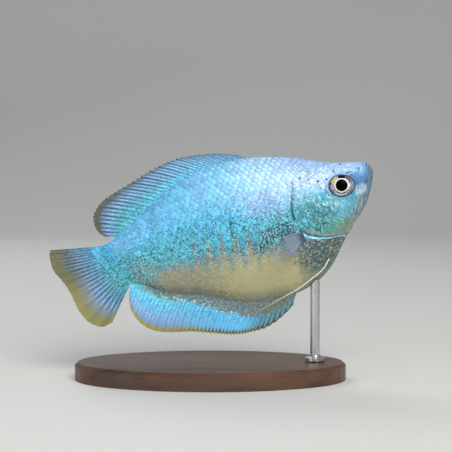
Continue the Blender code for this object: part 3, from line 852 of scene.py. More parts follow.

# Bands of colour from the keel (0) to the back (1), from the gill covers to the tail. Their paler backs and
# darker keels are partly the fish's own colours and partly painted light from above and painted shade
# beneath.
BREAST = (
    (0.2, Tint.SAGE), (0.3, Tint.BROWN), (0.42, Tint.DEEP_WATER), (0.52, Tint.TURQUOISE),
    (0.66, Tint.LAVENDER), (0.84, Tint.ICE),
)
FLANK = (
    (0.0, Tint.KEEL), (0.07, Tint.TAN), (0.28, Tint.TAN), (0.38, Tint.BROWN), (0.45, Tint.TURQUOISE),
    (0.62, Tint.SKY), (0.82, Tint.PALE_SKY),
)
REAR = (
    (0.0, Tint.KEEL), (0.12, Tint.CLAY), (0.27, Tint.CLAY), (0.37, Tint.TURQUOISE), (0.55, Tint.TURQUOISE),
    (0.72, Tint.SKY),
)
STEM = ((0.0, Tint.SEA_GREEN), (0.2, Tint.TURQUOISE), (0.6, Tint.TURQUOISE), (0.85, Tint.SKY))
HEAD = (
    (0.0, Tint.KEEL), (0.14, Tint.SAGE), (0.24, Tint.SEA_GREEN), (0.36, Tint.TURQUOISE),
    (0.57, Tint.TURQUOISE), (0.64, Tint.SKY), (0.7, Tint.PEARL), (0.78, Tint.PEARL), (0.9, Tint.CROWN),
)
SNOUT = ((0.0, Tint.KEEL), (0.2, Tint.LIP), (0.4, Tint.TURQUOISE), (0.56, Tint.PEARL), (0.75, Tint.CROWN))


@dataclass(frozen=True)
class Patch:
    """A soft-edged oval patch on the body."""

    back: float
    up: float
    long: float
    high: float
    tint: Tint = Tint.ICE
    strength: float = 1.0
    slope: float = 0.0  # up for each step back


SHOULDER = Patch(25.5, 4.0, 5.5, 3.6, Tint.LAVENDER, 0.7)
PATCHES = (
    SHOULDER,
    Patch(14.6, -5.9, 3.2, 1.4, Tint.SEA_GREEN, 0.75),
    Patch(10.5, -2.8, 2.6, 1.6, Tint.SILVER, 0.25),
    Patch(8.4, -4.6, 2.6, 2.8, Tint.PALE_SKY, 0.4),
    Patch(56.0, -1.5, 3.5, 1.8, Tint.BROWN, 0.35),
    Patch(16.5, -10.0, 5.6, 1.8, Tint.DEEP_WATER, 0.4),
    Patch(22.5, -8.5, 3.6, 1.8, Tint.DEEP_WATER, 0.4),
)
SNOUT_PATCHES = (
    Patch(3.9, -1.6, 1.7, 1.3, Tint.SILVER, 0.5),
    Patch(3.8, 0.8, 2.2, 1.8, Tint.SNOUT, 0.95),
    Patch(4.2, 2.0, 1.6, 0.3, Tint.SNOUT, 0.8),
)
LARGE_PLATES = Patch(15.5, -5.0, 5.0, 3.6)
GILL_SHADOW = Patch(24.7, -4.2, 6.2, 2.5, slope=-0.4)
THROAT_SHADOW = Patch(16.6, -12.0, 6.6, 4.4)
FLECKS = Patch(33.0, -4.0, 8.0, 3.0)
HEAD_SPOTS = (
    Patch(16.0, 5.3, 0.34, 0.34), Patch(14.3, 4.3, 0.32, 0.22), Patch(12.4, 3.26, 0.34, 0.3),
    Patch(10.4, 3.06, 0.3, 0.26), Patch(8.2, 4.25, 0.26, 0.24), Patch(5.1, 2.74, 0.9, 0.2),
    Patch(15.07, 6.82, 0.26, 0.2), Patch(6.2, 5.1, 0.5, 0.12), Patch(2.6, 2.7, 0.16, 0.5),
)


class BodyMarkings:
    """The colours of the body, laid out in the fish's frame and worn by the skin and the scales alike."""

    def __init__(self, graph: Graph) -> None:
        """Reads the attributes that the colours hang on, and makes the grain that they share.

        Args:
            graph: the material's graph.
        """
        self.graph = graph
        fish = graph.vector("fish")
        self.rise, self.gill, self.eye = graph.parts(graph.vector("zone"))
        self.true_back, _, self.true_up = graph.parts(fish)
        self.jaw = self.true_back + self.true_up * 0.53  # under 2 on the lower jaw
        self.lip = self.true_back + self.true_up * 0.3  # under 2 on the upper lip
        drift = graph.drift(fish, 0.42, 3.0)
        self.back, _, self.up = graph.parts(graph.vector_math("ADD", fish, graph.scaled(drift, 5.0)))
        self.fine = graph.noise(fish, 3.2, 2.0, 0.6)
        lie = graph.join(self.gill * 2.0, (self.true_back - self.true_up) * 1.1, self.true_back * 0.8)
        self.foil = graph.noise(lie, 1.0, 2.0, 0.6)
        self.brush = graph.noise(graph.vector_math("MULTIPLY", fish, (1.0, 1.6, 3.0)), 1.0, 2.0, 0.6)
        lie = graph.join(self.true_back * 0.24 - self.true_up * 0.44, self.jaw * 2.2, 0.0)
        self.streak = graph.noise(lie, 1.0, 2.0, 0.6)
        self.stroke = graph.noise(graph.vector_math("MULTIPLY", fish, (2.9, 1.6, 1.15)), 1.0, 1.5)
        self.grain, self.second, self.third = graph.cells(fish, 3.6)
        self.net = graph.cell_edges(fish, 1.35)
        slight = graph.vector_math("ADD", fish, graph.scaled(drift, 1.6))
        self.mesh = graph.cell_edges(slight, 0.85)
        slight = graph.vector_math("MULTIPLY", slight, (1.0, 1.0, 0.7))
        self.crackle = graph.cell_edges(slight, 0.92)
        self.plate, self.plate_hue, _ = graph.cells(slight, 0.92)

    def near(self, patch: Patch, sharp: bool = False) -> Value:
        """Finds an oval on the body.

        Args:
            patch: the oval.
            sharp: whether its outline is clean, where the others are bent by the noise.

        Returns:
            1 in its middle, and 0 outside it.
        """
        back, up = (self.true_back, self.true_up) if sharp else (self.back, self.up)
        along, across = back - patch.back, up - patch.up
        if patch.slope:
            across = across - along * patch.slope
        far = (along * (1.0 / patch.long)) ** 2 + (across * (1.0 / patch.high)) ** 2
        return (far ** 0.5).step(1.3, 0.55)

    def fingers(self) -> Value:
        """Finds the upright bars on the flank.

        Returns:
            1 in the middle of a tan one and -1 in a turquoise one.
        """
        first, pitch = 33.8, 3.15
        along = self.true_back + self.true_up * 0.2 + self.fine * 0.8 - (first - pitch / 4.0 + 0.4)
        along = along + (self.back - self.true_back) * 0.3
        return (along * (2.0 * math.pi / pitch)).sine() * self.true_back.between(31.0, 44.0, 3.0)

    def broad_patches(self) -> Value:
        """Soft patches a few millimetres wide, which break up what would be too even."""
        return (self.up - self.true_up).step(-0.5, 0.5)

    def plates(self) -> Value:
        """Finds the crackled part of the cheek and gill cover.

        Returns:
            1 on it and 0 outside it.
        """
        ahead = self.gill.step(0.2, 0.9) * self.true_back.step(5.0, 7.5)
        low = self.true_up.between(-8.4, 2.0, 0.9)
        return ahead * low * self.eye.step(EYE_RADIUS, EYE_RADIUS + 0.8) * self.jaw.step(3.2, 4.6)

    def gill_shadow_line(self) -> Value:
        """1 on the dark line of painted shadow behind the upper half of the gill cover, under its edge."""
        return self.gill.between(-0.42, 0.05, 0.12) * self.true_up.between(-2.8, 3.0, 0.8)

    def glitter(self) -> Value:
        """How strongly the skin sparkles.

        Returns:
            The most on the blue flank and the least on the tan belly.
        """
        blue = self.rise.step(0.22, 0.42).most(self.true_back.step(51.0, 57.0))
        back = self.rise.step(1.0, 0.7, 0.3, 1.0).most(self.true_back.step(34.0, 46.0) * 0.9)
        return (blue * back + 0.1) * self.lip.step(2.0, 3.2)

    def muscle(self) -> Value:
        """Fine slanting lines on the belly, where the muscle shows through."""
        along = self.true_back * 0.82 - self.true_up * 0.574 + self.fine * 0.5
        return (along * 10.5).sine() * self.rise.step(0.45, 0.3)

    def flank_marks(self, fingers: Value) -> Coats:
        """The flank's bars, its mottled rear and the dark line at its middle.

        Args:
            fingers: what the method of that name returned.

        Returns:
            The coats, the lowest first.
        """
        warm = fingers.step(-0.2, 1.0) * self.rise.between(0.36, 0.46, 0.1)
        cool = fingers.step(0.2, -1.0) * self.rise.between(0.27, 0.36, 0.06)
        mottled = self.true_back.step(33.0, 44.0) * self.rise.between(0.08, 0.36, 0.08)
        cloud = (self.up - self.true_up + self.third).step(0.8, 1.4)
        low = (self.rise + (self.fine - 0.5) * 0.12).step(0.2, 0.09) * self.true_back.between(50.0, 58.0, 2.0)
        line = abs(self.true_back + self.true_up * 0.2 - 34.3).step(0.4, 0.1)
        return [
            (Tint.BROWN, warm * self.stroke.step(0.3, 0.6) * 0.55),
            (Tint.MIST, cool * self.fine.step(0.3, 0.6) * 0.4),
            (Tint.SAGE, self.brush.step(0.46, 0.6) * mottled * 0.5),
            (Tint.SLATE, (self.stroke + self.grain * 0.4).step(0.78, 0.92) * mottled * 0.4),
            (Tint.DEEP_WATER, cloud * mottled * 0.3),
            (Tint.BROWN, low * 0.85),
            (Tint.TEAL, line * self.true_up.between(-1.6, 1.3, 0.8) * 0.85),
        ]

    def ground(self) -> Socket:
        """The broad bands from snout to tail, with the patches on them.

        Returns:
            Their colour.
        """
        graph, fingers = self.graph, self.fingers()
        rise = self.rise + (self.fine - 0.5) * 0.2 + (self.stroke - 0.5) * 0.12
        rise = rise + (self.up - self.true_up) * 0.02
        trunk_rise = rise - fingers * self.rise.step(0.1, 0.26) * 0.05
        tan = self.back.step(25.0, 32.0).most(self.back.step(19.0, 25.0) * self.rise.step(0.4, 0.3))
        zones = ((tan, FLANK), (self.back.step(39.0, 47.0), REAR), (self.back.step(52.0, 58.0), STEM))
        colour = graph.ramp(trunk_rise, BREAST)
        for share, bands in zones:
            colour = graph.mix(share, colour, graph.ramp(trunk_rise, bands))
        colour = graph.coats(colour, *self.flank_marks(fingers))
        head = graph.ramp(rise - self.true_back.step(10.0, 17.0) * 0.05, HEAD)
        head = graph.mix(self.back.step(9.0, 4.5), head, graph.ramp(rise, SNOUT))
        covered = self.gill.step(-0.12, 0.12).most(self.back.step(19.5, 15.5) * self.rise.step(0.64, 0.74))
        patches = [(patch.tint, self.near(patch) * patch.strength) for patch in PATCHES]
        return graph.coats(graph.mix(covered, colour, head), *patches)

    def cheek(self, colour: Any) -> Socket:
        """Lays the crackled silver and turquoise plates of the cheek, with silver patches of painted
        highlight and wavy dark lines of painted shade over them.

        Args:
            colour: what they lie on.

        Returns:
            The colour with them.
        """
        plates, large = self.plates(), self.near(LARGE_PLATES)
        green = self.plate_hue.step(0.5, 0.7) * plates * self.true_back.step(8.0, 12.0)
        colour = self.graph.coats(colour, (Tint.SEA_GREEN, green * 0.5))
        colour = self.graph.scaled(colour, 1.0 + plates * (self.plate - 0.4) * (large * 0.3 + 0.25))
        upper = plates * (1 - large * 0.6) * self.jaw.step(5.5, 9.0, 0.6, 1.0)
        # painted highlights in silver, and painted shade in the wavy dark creases beside them
        silver = self.foil.step(0.54, 0.64) * upper * self.true_up.step(-7.5, -5.0, 0.3, 0.8)
        crease_shade = abs(self.foil - 0.49).step(0.035, 0.0) * upper * 0.75
        lines = self.crackle.step(0.13, 0.04) * plates * (large * 0.75 + self.broad_patches() * 0.25)
        return self.graph.coats(colour, (Tint.SILVER, silver), (Tint.TEAL, crease_shade), (Tint.TEAL, lines))

    def shadows(self) -> Coats:
        """The dark net behind the gill cover and on the throat, and the mottled keel.

        Returns:
            The coats, the lowest first.
        """
        behind = self.gill.step(-0.5, -1.1)
        gill = self.near(GILL_SHADOW) * behind
        throat = self.near(THROAT_SHADOW) * behind
        net = (self.net + (self.grain - 0.5) * 0.24).step(0.3, 0.11)
        mesh = (self.mesh + (self.grain - 0.5) * 0.3 + (self.fine - 0.5) * 0.5).step(0.3, 0.1) * throat
        lower = self.gill.step(-3.0, -5.5)
        bright = self.second.step(0.88, 0.94) * throat * (1 - lower * 0.6)
        flecks = (self.stroke + (self.grain - 0.5) * 0.3).step(0.58, 0.68) * self.near(FLECKS)
        keel = self.rise.between(0.0, 0.06, 0.05) * self.true_back.between(29.0, 54.0, 3.0)
        return [
            (Tint.INK, net * gill * 0.9),
            (Tint.AQUA, self.second.step(0.55, 0.75) * gill * 0.6),
            (Tint.TAN, self.third.step(0.72, 0.86) * gill * 0.6),
            (Tint.TAN, self.plate_hue.step(0.5, 0.8) * throat * lower * 0.4),
            (Tint.SLATE, mesh * 0.8),
            (Tint.INK, mesh * self.third.step(0.5, 0.8) * 0.45),
            (Tint.SILVER, bright * 0.6),
            (Tint.TEAL, flecks * 0.7),
            (Tint.SLATE, (self.fine + self.grain * 0.4).step(0.55, 0.85) * keel * 0.45),
        ]

    def gill_lines(self) -> Coats:
        """The tan margin of the gill cover, the dark and bright lines behind its edge, and the line of
        painted shadow behind its upper half.

        Returns:
            The coats, the lowest first.
        """
        low = self.true_up.step(-5.2, -6.6)
        jagged = self.gill + (self.fine - 0.5) * 0.5
        bright = jagged.between(-1.75, -0.95, 0.2) * low * self.true_back.step(9.5, 11.5)
        return [
            (Tint.KEEL, jagged.between(0.1, 0.9, 0.8) * low * 0.85),
            (Tint.SLATE, jagged.between(-0.25, 0.02, 0.12) * low * 0.8),
            (Tint.TEAL, jagged.between(-0.9, -0.3, 0.2) * low * 0.7),
            (Tint.SKY, bright * 0.9),
            (Tint.AQUA, bright * self.second.step(0.3, 0.5) * 0.8),
            (Tint.SILVER, bright * self.grain.step(0.55, 0.7) * 0.8),
            # painted shadow under the upper edge of the gill cover
            (Tint.TEAL, self.gill_shadow_line() * 0.95),
        ]

    def jaws(self) -> Coats:
        """The grey lips and lower jaw, the brown rim behind them and the bright edge above the mouth.

        Returns:
            The coats, the lowest first.
        """
        rim = self.rise.step(0.16, 0.03) * self.true_back.step(14.0, 10.0) * self.gill.step(0.0, 0.3)
        streak = self.jaw.between(1.8, 3.9, 1.0) * self.true_up.step(0.4, -0.8)
        lower, upper = self.jaw.step(2.0, 1.2), self.lip.step(1.9, 1.3)
        front = upper.most(lower)
        line = self.lip.between(1.62, 1.78, 0.14) * self.true_up.step(-1.6, -0.4)
        edge = self.lip.between(1.95, 2.3, 0.2) * self.true_up.step(-0.4, 0.6)
        return [
            (Tint.KEEL, rim * 0.7),
            (Tint.MIST, streak * self.jaw.step(4.2, 2.6) * 0.85),
            (Tint.SILVER, streak * self.streak.step(0.52, 0.64) * 0.3),
            (Tint.SLATE, streak * self.streak.step(0.48, 0.36) * 0.7),
            (Tint.LIP, lower * 0.8),
            (Tint.MIST, lower * self.true_up.step(-1.5, -4.0) * 0.7),
            (Tint.SLATE, self.jaw.step(0.9, 0.2) * self.true_up.step(0.0, -2.0) * 0.5),
            (Tint.SLATE, rim * self.fine.step(0.5, 0.7) * 0.4),
            (Tint.LIP, upper * 0.8),
            (Tint.SLATE, (self.fine + self.grain * 0.3).step(0.55, 0.85) * front * 0.35),
            (Tint.PEARL, self.brush.step(0.5, 0.65) * front * 0.35),
            (Tint.TEAL, line * 0.7),
            (Tint.PALE_SKY, edge * 0.8),
        ]

    def head_top(self) -> Coats:
        """The silver strokes of painted highlight on the crown, the blue of the snout, the dark spots, a blue
        ring round the eye and a dark line of painted shade at the edge of its socket.

        Returns:
            The coats, the lowest first.
        """
        crown = self.rise.step(0.6, 0.72) * self.back.step(19.0, 15.0) * self.true_back.step(2.4, 4.0)
        streaky = (self.streak + self.brush * 0.6).step(0.6, 0.95, 0.75, 1.0)
        return [
            # painted highlights: silver strokes on the crown
            (Tint.SILVER, self.brush.step(0.5, 0.62) * crown * 0.6),
            (Tint.RAY, abs(self.brush - 0.46).step(0.04, 0.0) * crown * 0.55),
            *((patch.tint, self.near(patch, True) * streaky * patch.strength) for patch in SNOUT_PATCHES),
            *((Tint.INK, self.near(spot, True) * 0.95) for spot in HEAD_SPOTS),
            (Tint.SNOUT, self.eye.between(EYE_RADIUS, EYE_RADIUS + 0.3, 0.15) * 0.5),
            # painted shade: a dark line at the edge of the eye's socket
            (Tint.INK, self.eye.step(EYE_RADIUS + 0.04, EYE_RADIUS - 0.04) * 0.7),
        ]

    def colour(self) -> Socket:
        """All of the markings together.

        Returns:
            The body's colour.
        """
        graph, glitter, low = self.graph, self.glitter(), self.rise.step(0.8, 0.5)
        dark = (self.stroke + (self.grain - 0.5) * 0.2).step(0.6, 0.72)
        marks = [*self.shadows(), *self.gill_lines(), *self.jaws(), (Tint.TEAL, dark * glitter * low * 0.5)]
        colour = graph.coats(self.cheek(self.ground()), *marks)
        grain = (self.grain - 0.5) * (low * 0.4 + 0.75) + (self.fine - 0.5) * 1.3 + (self.stroke - 0.5) * 1.3
        glitter = glitter * (1 - self.plates() * 0.55) * (1 - self.gill_shadow_line() * 0.85)
        return graph.coats(
            graph.scaled(colour, 1.0 + glitter * grain + self.muscle() * 0.035),
            (Tint.AQUA, self.second.step(0.76, 0.88) * glitter * (low * 0.2 + 0.45)),
            (Tint.LILAC, self.third.step(0.8, 0.92) * glitter * 0.5),
            *self.head_top(),
        )


@dataclass(frozen=True)
class SkinFinish:
    """Wet, iridescent fish skin."""

    name: str = "iridescent_skin"
    roughness: float = 0.3
    crease: float = 0.05

    def wet(self, marks: BodyMarkings, colour: Any, height: Value) -> bpy.types.Material:
        """Ends a graph in what skin and scales share.

        Args:
            marks: the body's markings.
            colour: the colour that shows.
            height: the relief that is too fine for the mesh.

        Returns:
            The material.
        """
        return marks.graph.finish({
            "Base Color": colour,
            "Roughness": marks.grain * 0.2 + self.roughness,
            "Metallic": marks.glitter() * 0.12,
            "Specular IOR Level": 0.3,
            "Coat Weight": 0.15,
            "Coat Roughness": 0.15,
            "Normal": marks.graph.bump(height, self.crease),
        })

    def material(self) -> bpy.types.Material:
        """The skin's material.

        Returns:
            The material.
        """
        marks = BodyMarkings(Graph(self.name))
        grooves = marks.crackle.step(0.0, 0.14) * marks.plates()
        height = marks.fine * 0.5 + grooves + marks.foil * 1.5 + marks.grain * 0.3 + marks.muscle() * 0.4
        return self.wet(marks, marks.colour(), height)


@dataclass(frozen=True)
class ScaleFinish(SkinFinish):
    """Overlapping iridescent scales with a darker rim, painted highlights in the middle of the upper ones and
    a painted green-cyan glint on the back.
    """

    name: str = "iridescent_scales"
    crease: float = 0.03

    def material(self) -> bpy.types.Material:
        """The scales' material.

        Returns:
            The material.
        """
        marks = BodyMarkings(Graph(self.name))
        tone, rim = marks.graph.number("tone"), marks.graph.number("rim")
        high = (marks.rise + marks.true_back.step(28.0, 40.0) * -0.1).step(0.54, 0.72)
        blue = marks.rise.step(0.32, 0.46)
        rows = rim * high * marks.fine.step(0.2, 0.6) * marks.true_back.step(9.0, 18.0)
        centre_highlight = (1 - rim) * high * marks.true_back.step(44.0, 26.0) * marks.true_back.step(11.0, 19.0)
        centre_highlight = centre_highlight * marks.grain.step(0.0, 0.7) * (1 - marks.near(SHOULDER) * 0.7)
        glint = (1 - rim) * high * marks.true_back.between(27.0, 44.0, 4.0) * marks.broad_patches()
        # SILVER in the middle of the upper scales is painted highlight, and the AQUA glint is painted sheen
        colour = marks.graph.coats(
            marks.colour(),
            (Tint.LILAC, rows * 0.95),
            (Tint.TEAL, rim * blue * (1 - high) * marks.stroke.step(0.4, 0.65) * 0.5),
            (Tint.SILVER, centre_highlight * 0.42),
            (Tint.AQUA, glint * 0.35),
        )
        colour = marks.graph.scaled(colour, 1.0 + tone * (blue * 0.14 + 0.03))
        return self.wet(marks, colour, marks.fine * 0.5 + marks.grain * 0.3 + marks.muscle() * 0.4)


@dataclass(frozen=True)
class FinFinish:
    """A fin: tints from its base (0) to its margin (1), for the web and the rays of either end."""

    name: str
    web_front: Bands
    web_rear: Bands
    ray_front: Bands
    ray_rear: Bands
    clear: float = 0.45  # alpha at the margin
    clear_from: float = 0.84
    web_alpha: float = 0.9
    glitter: float = 0.6
    rays_show: float = 1.0  # how far the rays' tint shows in the lower half of the height
    dashes: float = 0.0
    frost: float = 0.0  # white specks along the base
    rear_from: float = 0.25  # shares of the base between which the front's tints give way to the rear's
    rear_to: float = 0.8
    skin_until: float = 0.0  # share of the height that the body's speckle covers
    skin_from: float = -0.3  # share of the base where that speckle begins
    sides_fade: float = 0.0  # how far the outer rays fade from sight

    def material(self) -> bpy.types.Material:
        """The fin's material.

        Returns:
            The material.
        """
        marks = FinMarkings(Graph(self.name), self)
        joints = (marks.along * 150.0).sine() * marks.ray * self.web_alpha
        return marks.graph.finish({
            "Base Color": marks.colour(),
            "Roughness": marks.grain * 0.15 + 0.36,
            "Metallic": marks.sparkle * 0.15,
            "Specular IOR Level": 0.3,
            "Alpha": marks.alpha(),
            "Coat Weight": 0.12,
            "Coat Roughness": 0.15,
            "Normal": marks.graph.bump(joints * 0.4 + marks.fine, 0.03),
        })


class FinMarkings:
    """The colours of one fin, laid out by the share of its base, the share of its height and its rays."""

    def __init__(self, graph: Graph, finish: FinFinish) -> None:
        """Reads the fin's attributes, and makes the grain that its colours share.

        Args:
            graph: the material's graph.
            finish: the fin's finish.
        """
        self.graph = graph
        self.finish = finish
        fish = graph.vector("fish")
        self.share, self.along, self.ray = graph.parts(graph.vector("fin"))
        self.fine = graph.noise(fish, 3.0, 2.0, 0.6)
        self.broad = graph.noise(fish, 0.7, 2.0)
        self.grain, self.second, self.third = graph.cells(fish, 3.6)
        lower = self.along.step(0.35, 0.7, finish.rays_show, 1.0)
        self.streak = (self.ray + (self.fine - 0.5) * 0.5).step(0.2, 0.7) * lower
        self.sparkle = self.along.step(0.95, 0.45) * finish.glitter

    def bands(self) -> Socket:
        """The tints of the web and the rays from base to margin.

        Returns:
            Their colour.
        """
        graph, finish = self.graph, self.finish
        at = self.along + (self.fine - 0.5) * 0.1 + (self.broad - 0.5) * 0.14
        rear = (self.share + (self.broad - 0.5) * 0.2).step(finish.rear_from, finish.rear_to)
        web = graph.mix(rear, graph.ramp(at, finish.web_front), graph.ramp(at, finish.web_rear))
        rays = graph.mix(rear, graph.ramp(at, finish.ray_front), graph.ramp(at, finish.ray_rear))
        return graph.mix(self.streak, web, rays)

    def dashes(self) -> Coats:
        """The dark dashes between the rays, and the dark front edge.

        Returns:
            The coats, the lowest first.
        """
        dash = (1 - self.ray).step(0.8, 1.0)
        dash = dash * (self.along + (self.fine - 0.5) * 0.5).between(0.36, 0.5, 0.12)
        edge = (self.share + (self.fine - 0.5) * 0.1).step(0.3, 0.08) * (1 - self.ray * 0.45)
        return [(Tint.WEB, dash * self.share.step(0.35, 0.65) * self.finish.dashes), (Tint.MOSS, edge * 0.85)]

    def flesh(self) -> Coats:
        """The body's speckle, where it runs on over the foot of the fin.

        Returns:
            The coats, the lowest first.
        """
        until, start = self.finish.skin_until, self.finish.skin_from
        fleshy = (self.along - self.ray * 0.1 + (self.broad - 0.5) * 0.4).step(until, until * 0.4)
        fleshy = fleshy * self.share.step(start, start + 0.25)
        return [
            (self.graph.mix(self.share.step(0.3, 0.7), Tint.SKY, Tint.TURQUOISE), fleshy * 0.65),
            (Tint.TEAL, fleshy * self.grain.step(0.3, 0.15) * 0.7),
            (Tint.AQUA, fleshy * self.second.step(0.68, 0.85) * 0.6),
        ]

    def frost(self) -> tuple[Coats, Value]:
        """The brown band along the base, with white specks at its edge.

        Returns:
            The coats, the lowest first, and how far the band covers what lies under it.
        """
        low = self.along + (self.fine - 0.5) * 0.3 + (self.broad - 0.5) * 0.2
        low = low - self.share.step(0.0, 0.85, 0.6, 0.19)
        base = low.step(0.05, -0.05) * self.share.step(0.97, 0.88)
        edge = low.between(-0.06, 0.02, 0.05) * self.share.between(0.42, 0.8, 0.12)
        specks = (self.second + (self.fine - 0.5) * 0.9).step(0.8, 0.92) * edge
        return [
            (Tint.BROWN, base * 0.8),
            (Tint.SLATE, base * self.grain.step(0.3, 0.6) * 0.6),
            (Tint.TURQUOISE, base * self.third.step(0.84, 0.92) * 0.35),
            (Tint.SILVER, specks * self.finish.frost),
        ], base

    def colour(self) -> Socket:
        """All of the markings together.

        Returns:
            The fin's colour.
        """
        graph, finish = self.graph, self.finish
        flecks = self.third.step(0.8, 0.92)
        coats = self.dashes() if finish.dashes else []
        coats += self.flesh() if finish.skin_until else []
        if finish.frost:
            frosted, base = self.frost()
            coats += frosted
            flecks = flecks * (1 - base * 0.8)
        light = 1.0 + self.sparkle * ((self.grain - 0.5) * 0.6 + (self.fine - 0.5) * 1.2)
        colour = graph.scaled(graph.coats(self.bands(), *coats), light)
        return graph.coats(colour, (Tint.AQUA, flecks * self.sparkle * 0.6))

    def alpha(self) -> Value:
        """How far the fin hides what is behind it.

        Returns:
            The alpha, the least at the margin and between the rays.
        """
        finish = self.finish
        thin = self.along.step(finish.clear_from - 0.12, finish.clear_from + 0.08)
        alpha = 1 - thin * (1 - finish.clear)
        alpha = alpha * (1 - (1 - self.streak) * (1 - finish.web_alpha) * self.along.step(0.1, 0.4))
        if finish.sides_fade:
            alpha = alpha * (1 - (1 - self.share.between(0.25, 0.75, 0.3)) * finish.sides_fade)
        return alpha


class EyeTint(Palette):
    """The colours of the eye."""

    GREY = (84, 90, 98)
    SILVER = (226, 226, 228)
    HAZE = (104, 112, 132)
    SHADE = (74, 84, 84)
    WHITE = (244, 242, 242)
    PINK = (214, 190, 216)
    VIOLET = (112, 62, 128)
    SOOT = (14, 16, 20)
    NIGHT = (14, 18, 26)
    YELLOW = (204, 200, 70)
    RIM_SHADE = (40, 52, 66)
    CREAM = (244, 240, 232)
    PUPIL = (0, 0, 1)


@dataclass(frozen=True)
class EyeFinish:
    """A fish's eye: black pupil, cream ring and a silver iris with dark and yellow patches."""

    name: str = "glass_eye"
    pupil: float = 1.36
    ring: float = 1.57
    iris: float = 2.6  # as a distance from the eye's middle

    def material(self) -> bpy.types.Material:
        """The eye's material. Its vector is (level to the rear and upright from the pupil, from the middle).

        Returns:
            The material.
        """
        graph = Graph(self.name)
        spot = graph.vector("eye")
        rear, up, edge = graph.parts(spot)
        off = (rear * rear + up * up) ** 0.5
        fine = graph.noise(spot, 3.2, 3.0, 0.65)
        speck = graph.cells(spot, 5.0)[0]
        blur = (fine - 0.5) * 0.7
        half_blurred = rear + blur * 0.5
        low_front = (rear + blur).step(-0.9, -1.6) * (up + blur).step(-0.5, -1.2)
        low = (up + blur).step(-1.5, -1.9) * rear.step(-0.8, 0.2)
        pink = half_blurred.step(0.9, 1.5) * up.between(-1.5, 0.1, 0.3)
        arc = (off + blur * 0.2).between(1.72, 1.9, 0.06) * up.step(-1.2, -1.5) * fine.step(0.66, 0.56)
        notch = (up + blur * 0.6).step(1.5, 1.62) * half_blurred.between(-0.75, 0.75, 0.15)
        corner = (off + blur).between(1.9, 2.3, 0.15) * rear.step(-0.5, -0.9) * up.step(0.6, 1.0)
        nick = (off + blur).step(2.2, 2.4) * rear.step(1.8, 2.1) * up.between(0.1, 0.5, 0.15)
        yellow = half_blurred.between(1.35, 2.2, 0.2) * up.between(0.75, 1.6, 0.25)
        pointed = off + rear.step(-1.2, -1.9) * -0.34 * up.between(-0.15, 0.15, 0.3)
        colour = graph.coats(
            graph.mix(fine.step(0.4, 0.57), EyeTint.GREY, EyeTint.SILVER),
            (EyeTint.HAZE, (rear + blur).step(-1.2, -2.2) * 0.6),
            (EyeTint.SHADE, low_front * 0.5),
            (EyeTint.WHITE, low * 0.75),
            (EyeTint.PINK, pink * 0.6),
            (EyeTint.VIOLET, pink * speck.step(0.3, 0.15) * 0.9),
            (EyeTint.SOOT, arc * 0.95),
            (EyeTint.NIGHT, notch.most(corner * 0.75).most(nick * 0.8)),
            (EyeTint.YELLOW, yellow * fine.step(0.62, 0.5, 0.4, 1.0) * 0.95),
            # painted shade: a dark rim round the iris's edge, where the eyeball sinks into its socket
            (EyeTint.RIM_SHADE, edge.step(self.iris - 0.1, self.iris + 0.06) * 0.85),
            (EyeTint.CREAM, pointed.step(self.ring + 0.06, self.ring - 0.04)),
            (EyeTint.PUPIL, off.step(self.pupil + 0.05, self.pupil - 0.05)),
        )
        return graph.finish({
            "Base Color": colour,
            "Roughness": 0.4,
            "Metallic": off.step(self.pupil, self.ring) * edge.step(self.iris, self.iris - 0.2) * 0.2,
            "Specular IOR Level": 0.02,
            "Coat Weight": 0.02,
            "Coat Roughness": 0.03,
            "Normal": graph.bump(fine, 0.02),
        })


class StandTint(Palette):
    """The colours of the stand and the sweep that it rests on."""

    WALNUT = (62, 38, 24)
    LIGHT_WALNUT = (96, 62, 40)
    GRAIN = (34, 20, 13)
    STEEL = (172, 174, 178)
    BRIGHT_STEEL = (214, 216, 218)
    PAPER = (214, 214, 210)
    LIGHT_PAPER = (222, 222, 219)


@dataclass(frozen=True)
class WoodFinish:
    """Dark satin wood with a fine straight grain."""

    name: str = "dark_wood"

    def material(self) -> bpy.types.Material:
        """The wood's material.

        Returns:
            The material.
        """
        graph = Graph(self.name)
        grain = graph.grain((60.0, 900.0, 900.0), 4.0, 0.6)
        broad = graph.grain((25.0, 160.0, 160.0), 3.0)
        colour = graph.mix(broad.step(0.3, 0.7), StandTint.WALNUT, StandTint.LIGHT_WALNUT)
        return graph.finish({
            "Base Color": graph.coats(colour, (StandTint.GRAIN, grain.step(0.5, 0.72) * 0.6)),
            "Roughness": grain * 0.2 + 0.34,
            "Coat Weight": 0.25,
            "Coat Roughness": 0.2,
            "Normal": graph.bump(grain, 0.05),
        })


@dataclass(frozen=True)
class SteelFinish:
    """Brushed steel, turned on a lathe."""

    name: str = "brushed_steel"

    def material(self) -> bpy.types.Material:
        """The steel's material.

        Returns:
            The material.
        """
        graph = Graph(self.name)
        turns = graph.grain((300.0, 300.0, 9000.0), 3.0)
        return graph.finish({
            "Base Color": graph.mix(turns, StandTint.STEEL, StandTint.BRIGHT_STEEL),
            "Metallic": 1.0,
            "Roughness": turns * 0.22 + 0.2,
            "Normal": graph.bump(turns, 0.01),
        })


@dataclass(frozen=True)
class PaperFinish:
    """The pale sweep that the stand rests on."""

    name: str = "pale_sweep"

    def material(self) -> bpy.types.Material:
        """Makes the sweep's material.

        Returns:
            The material.
        """
        graph = Graph(self.name)
        tint = graph.mix(graph.grain((900.0, 900.0, 900.0), 2.0), StandTint.PAPER, StandTint.LIGHT_PAPER)
        return graph.finish({"Base Color": tint, "Roughness": 0.75})


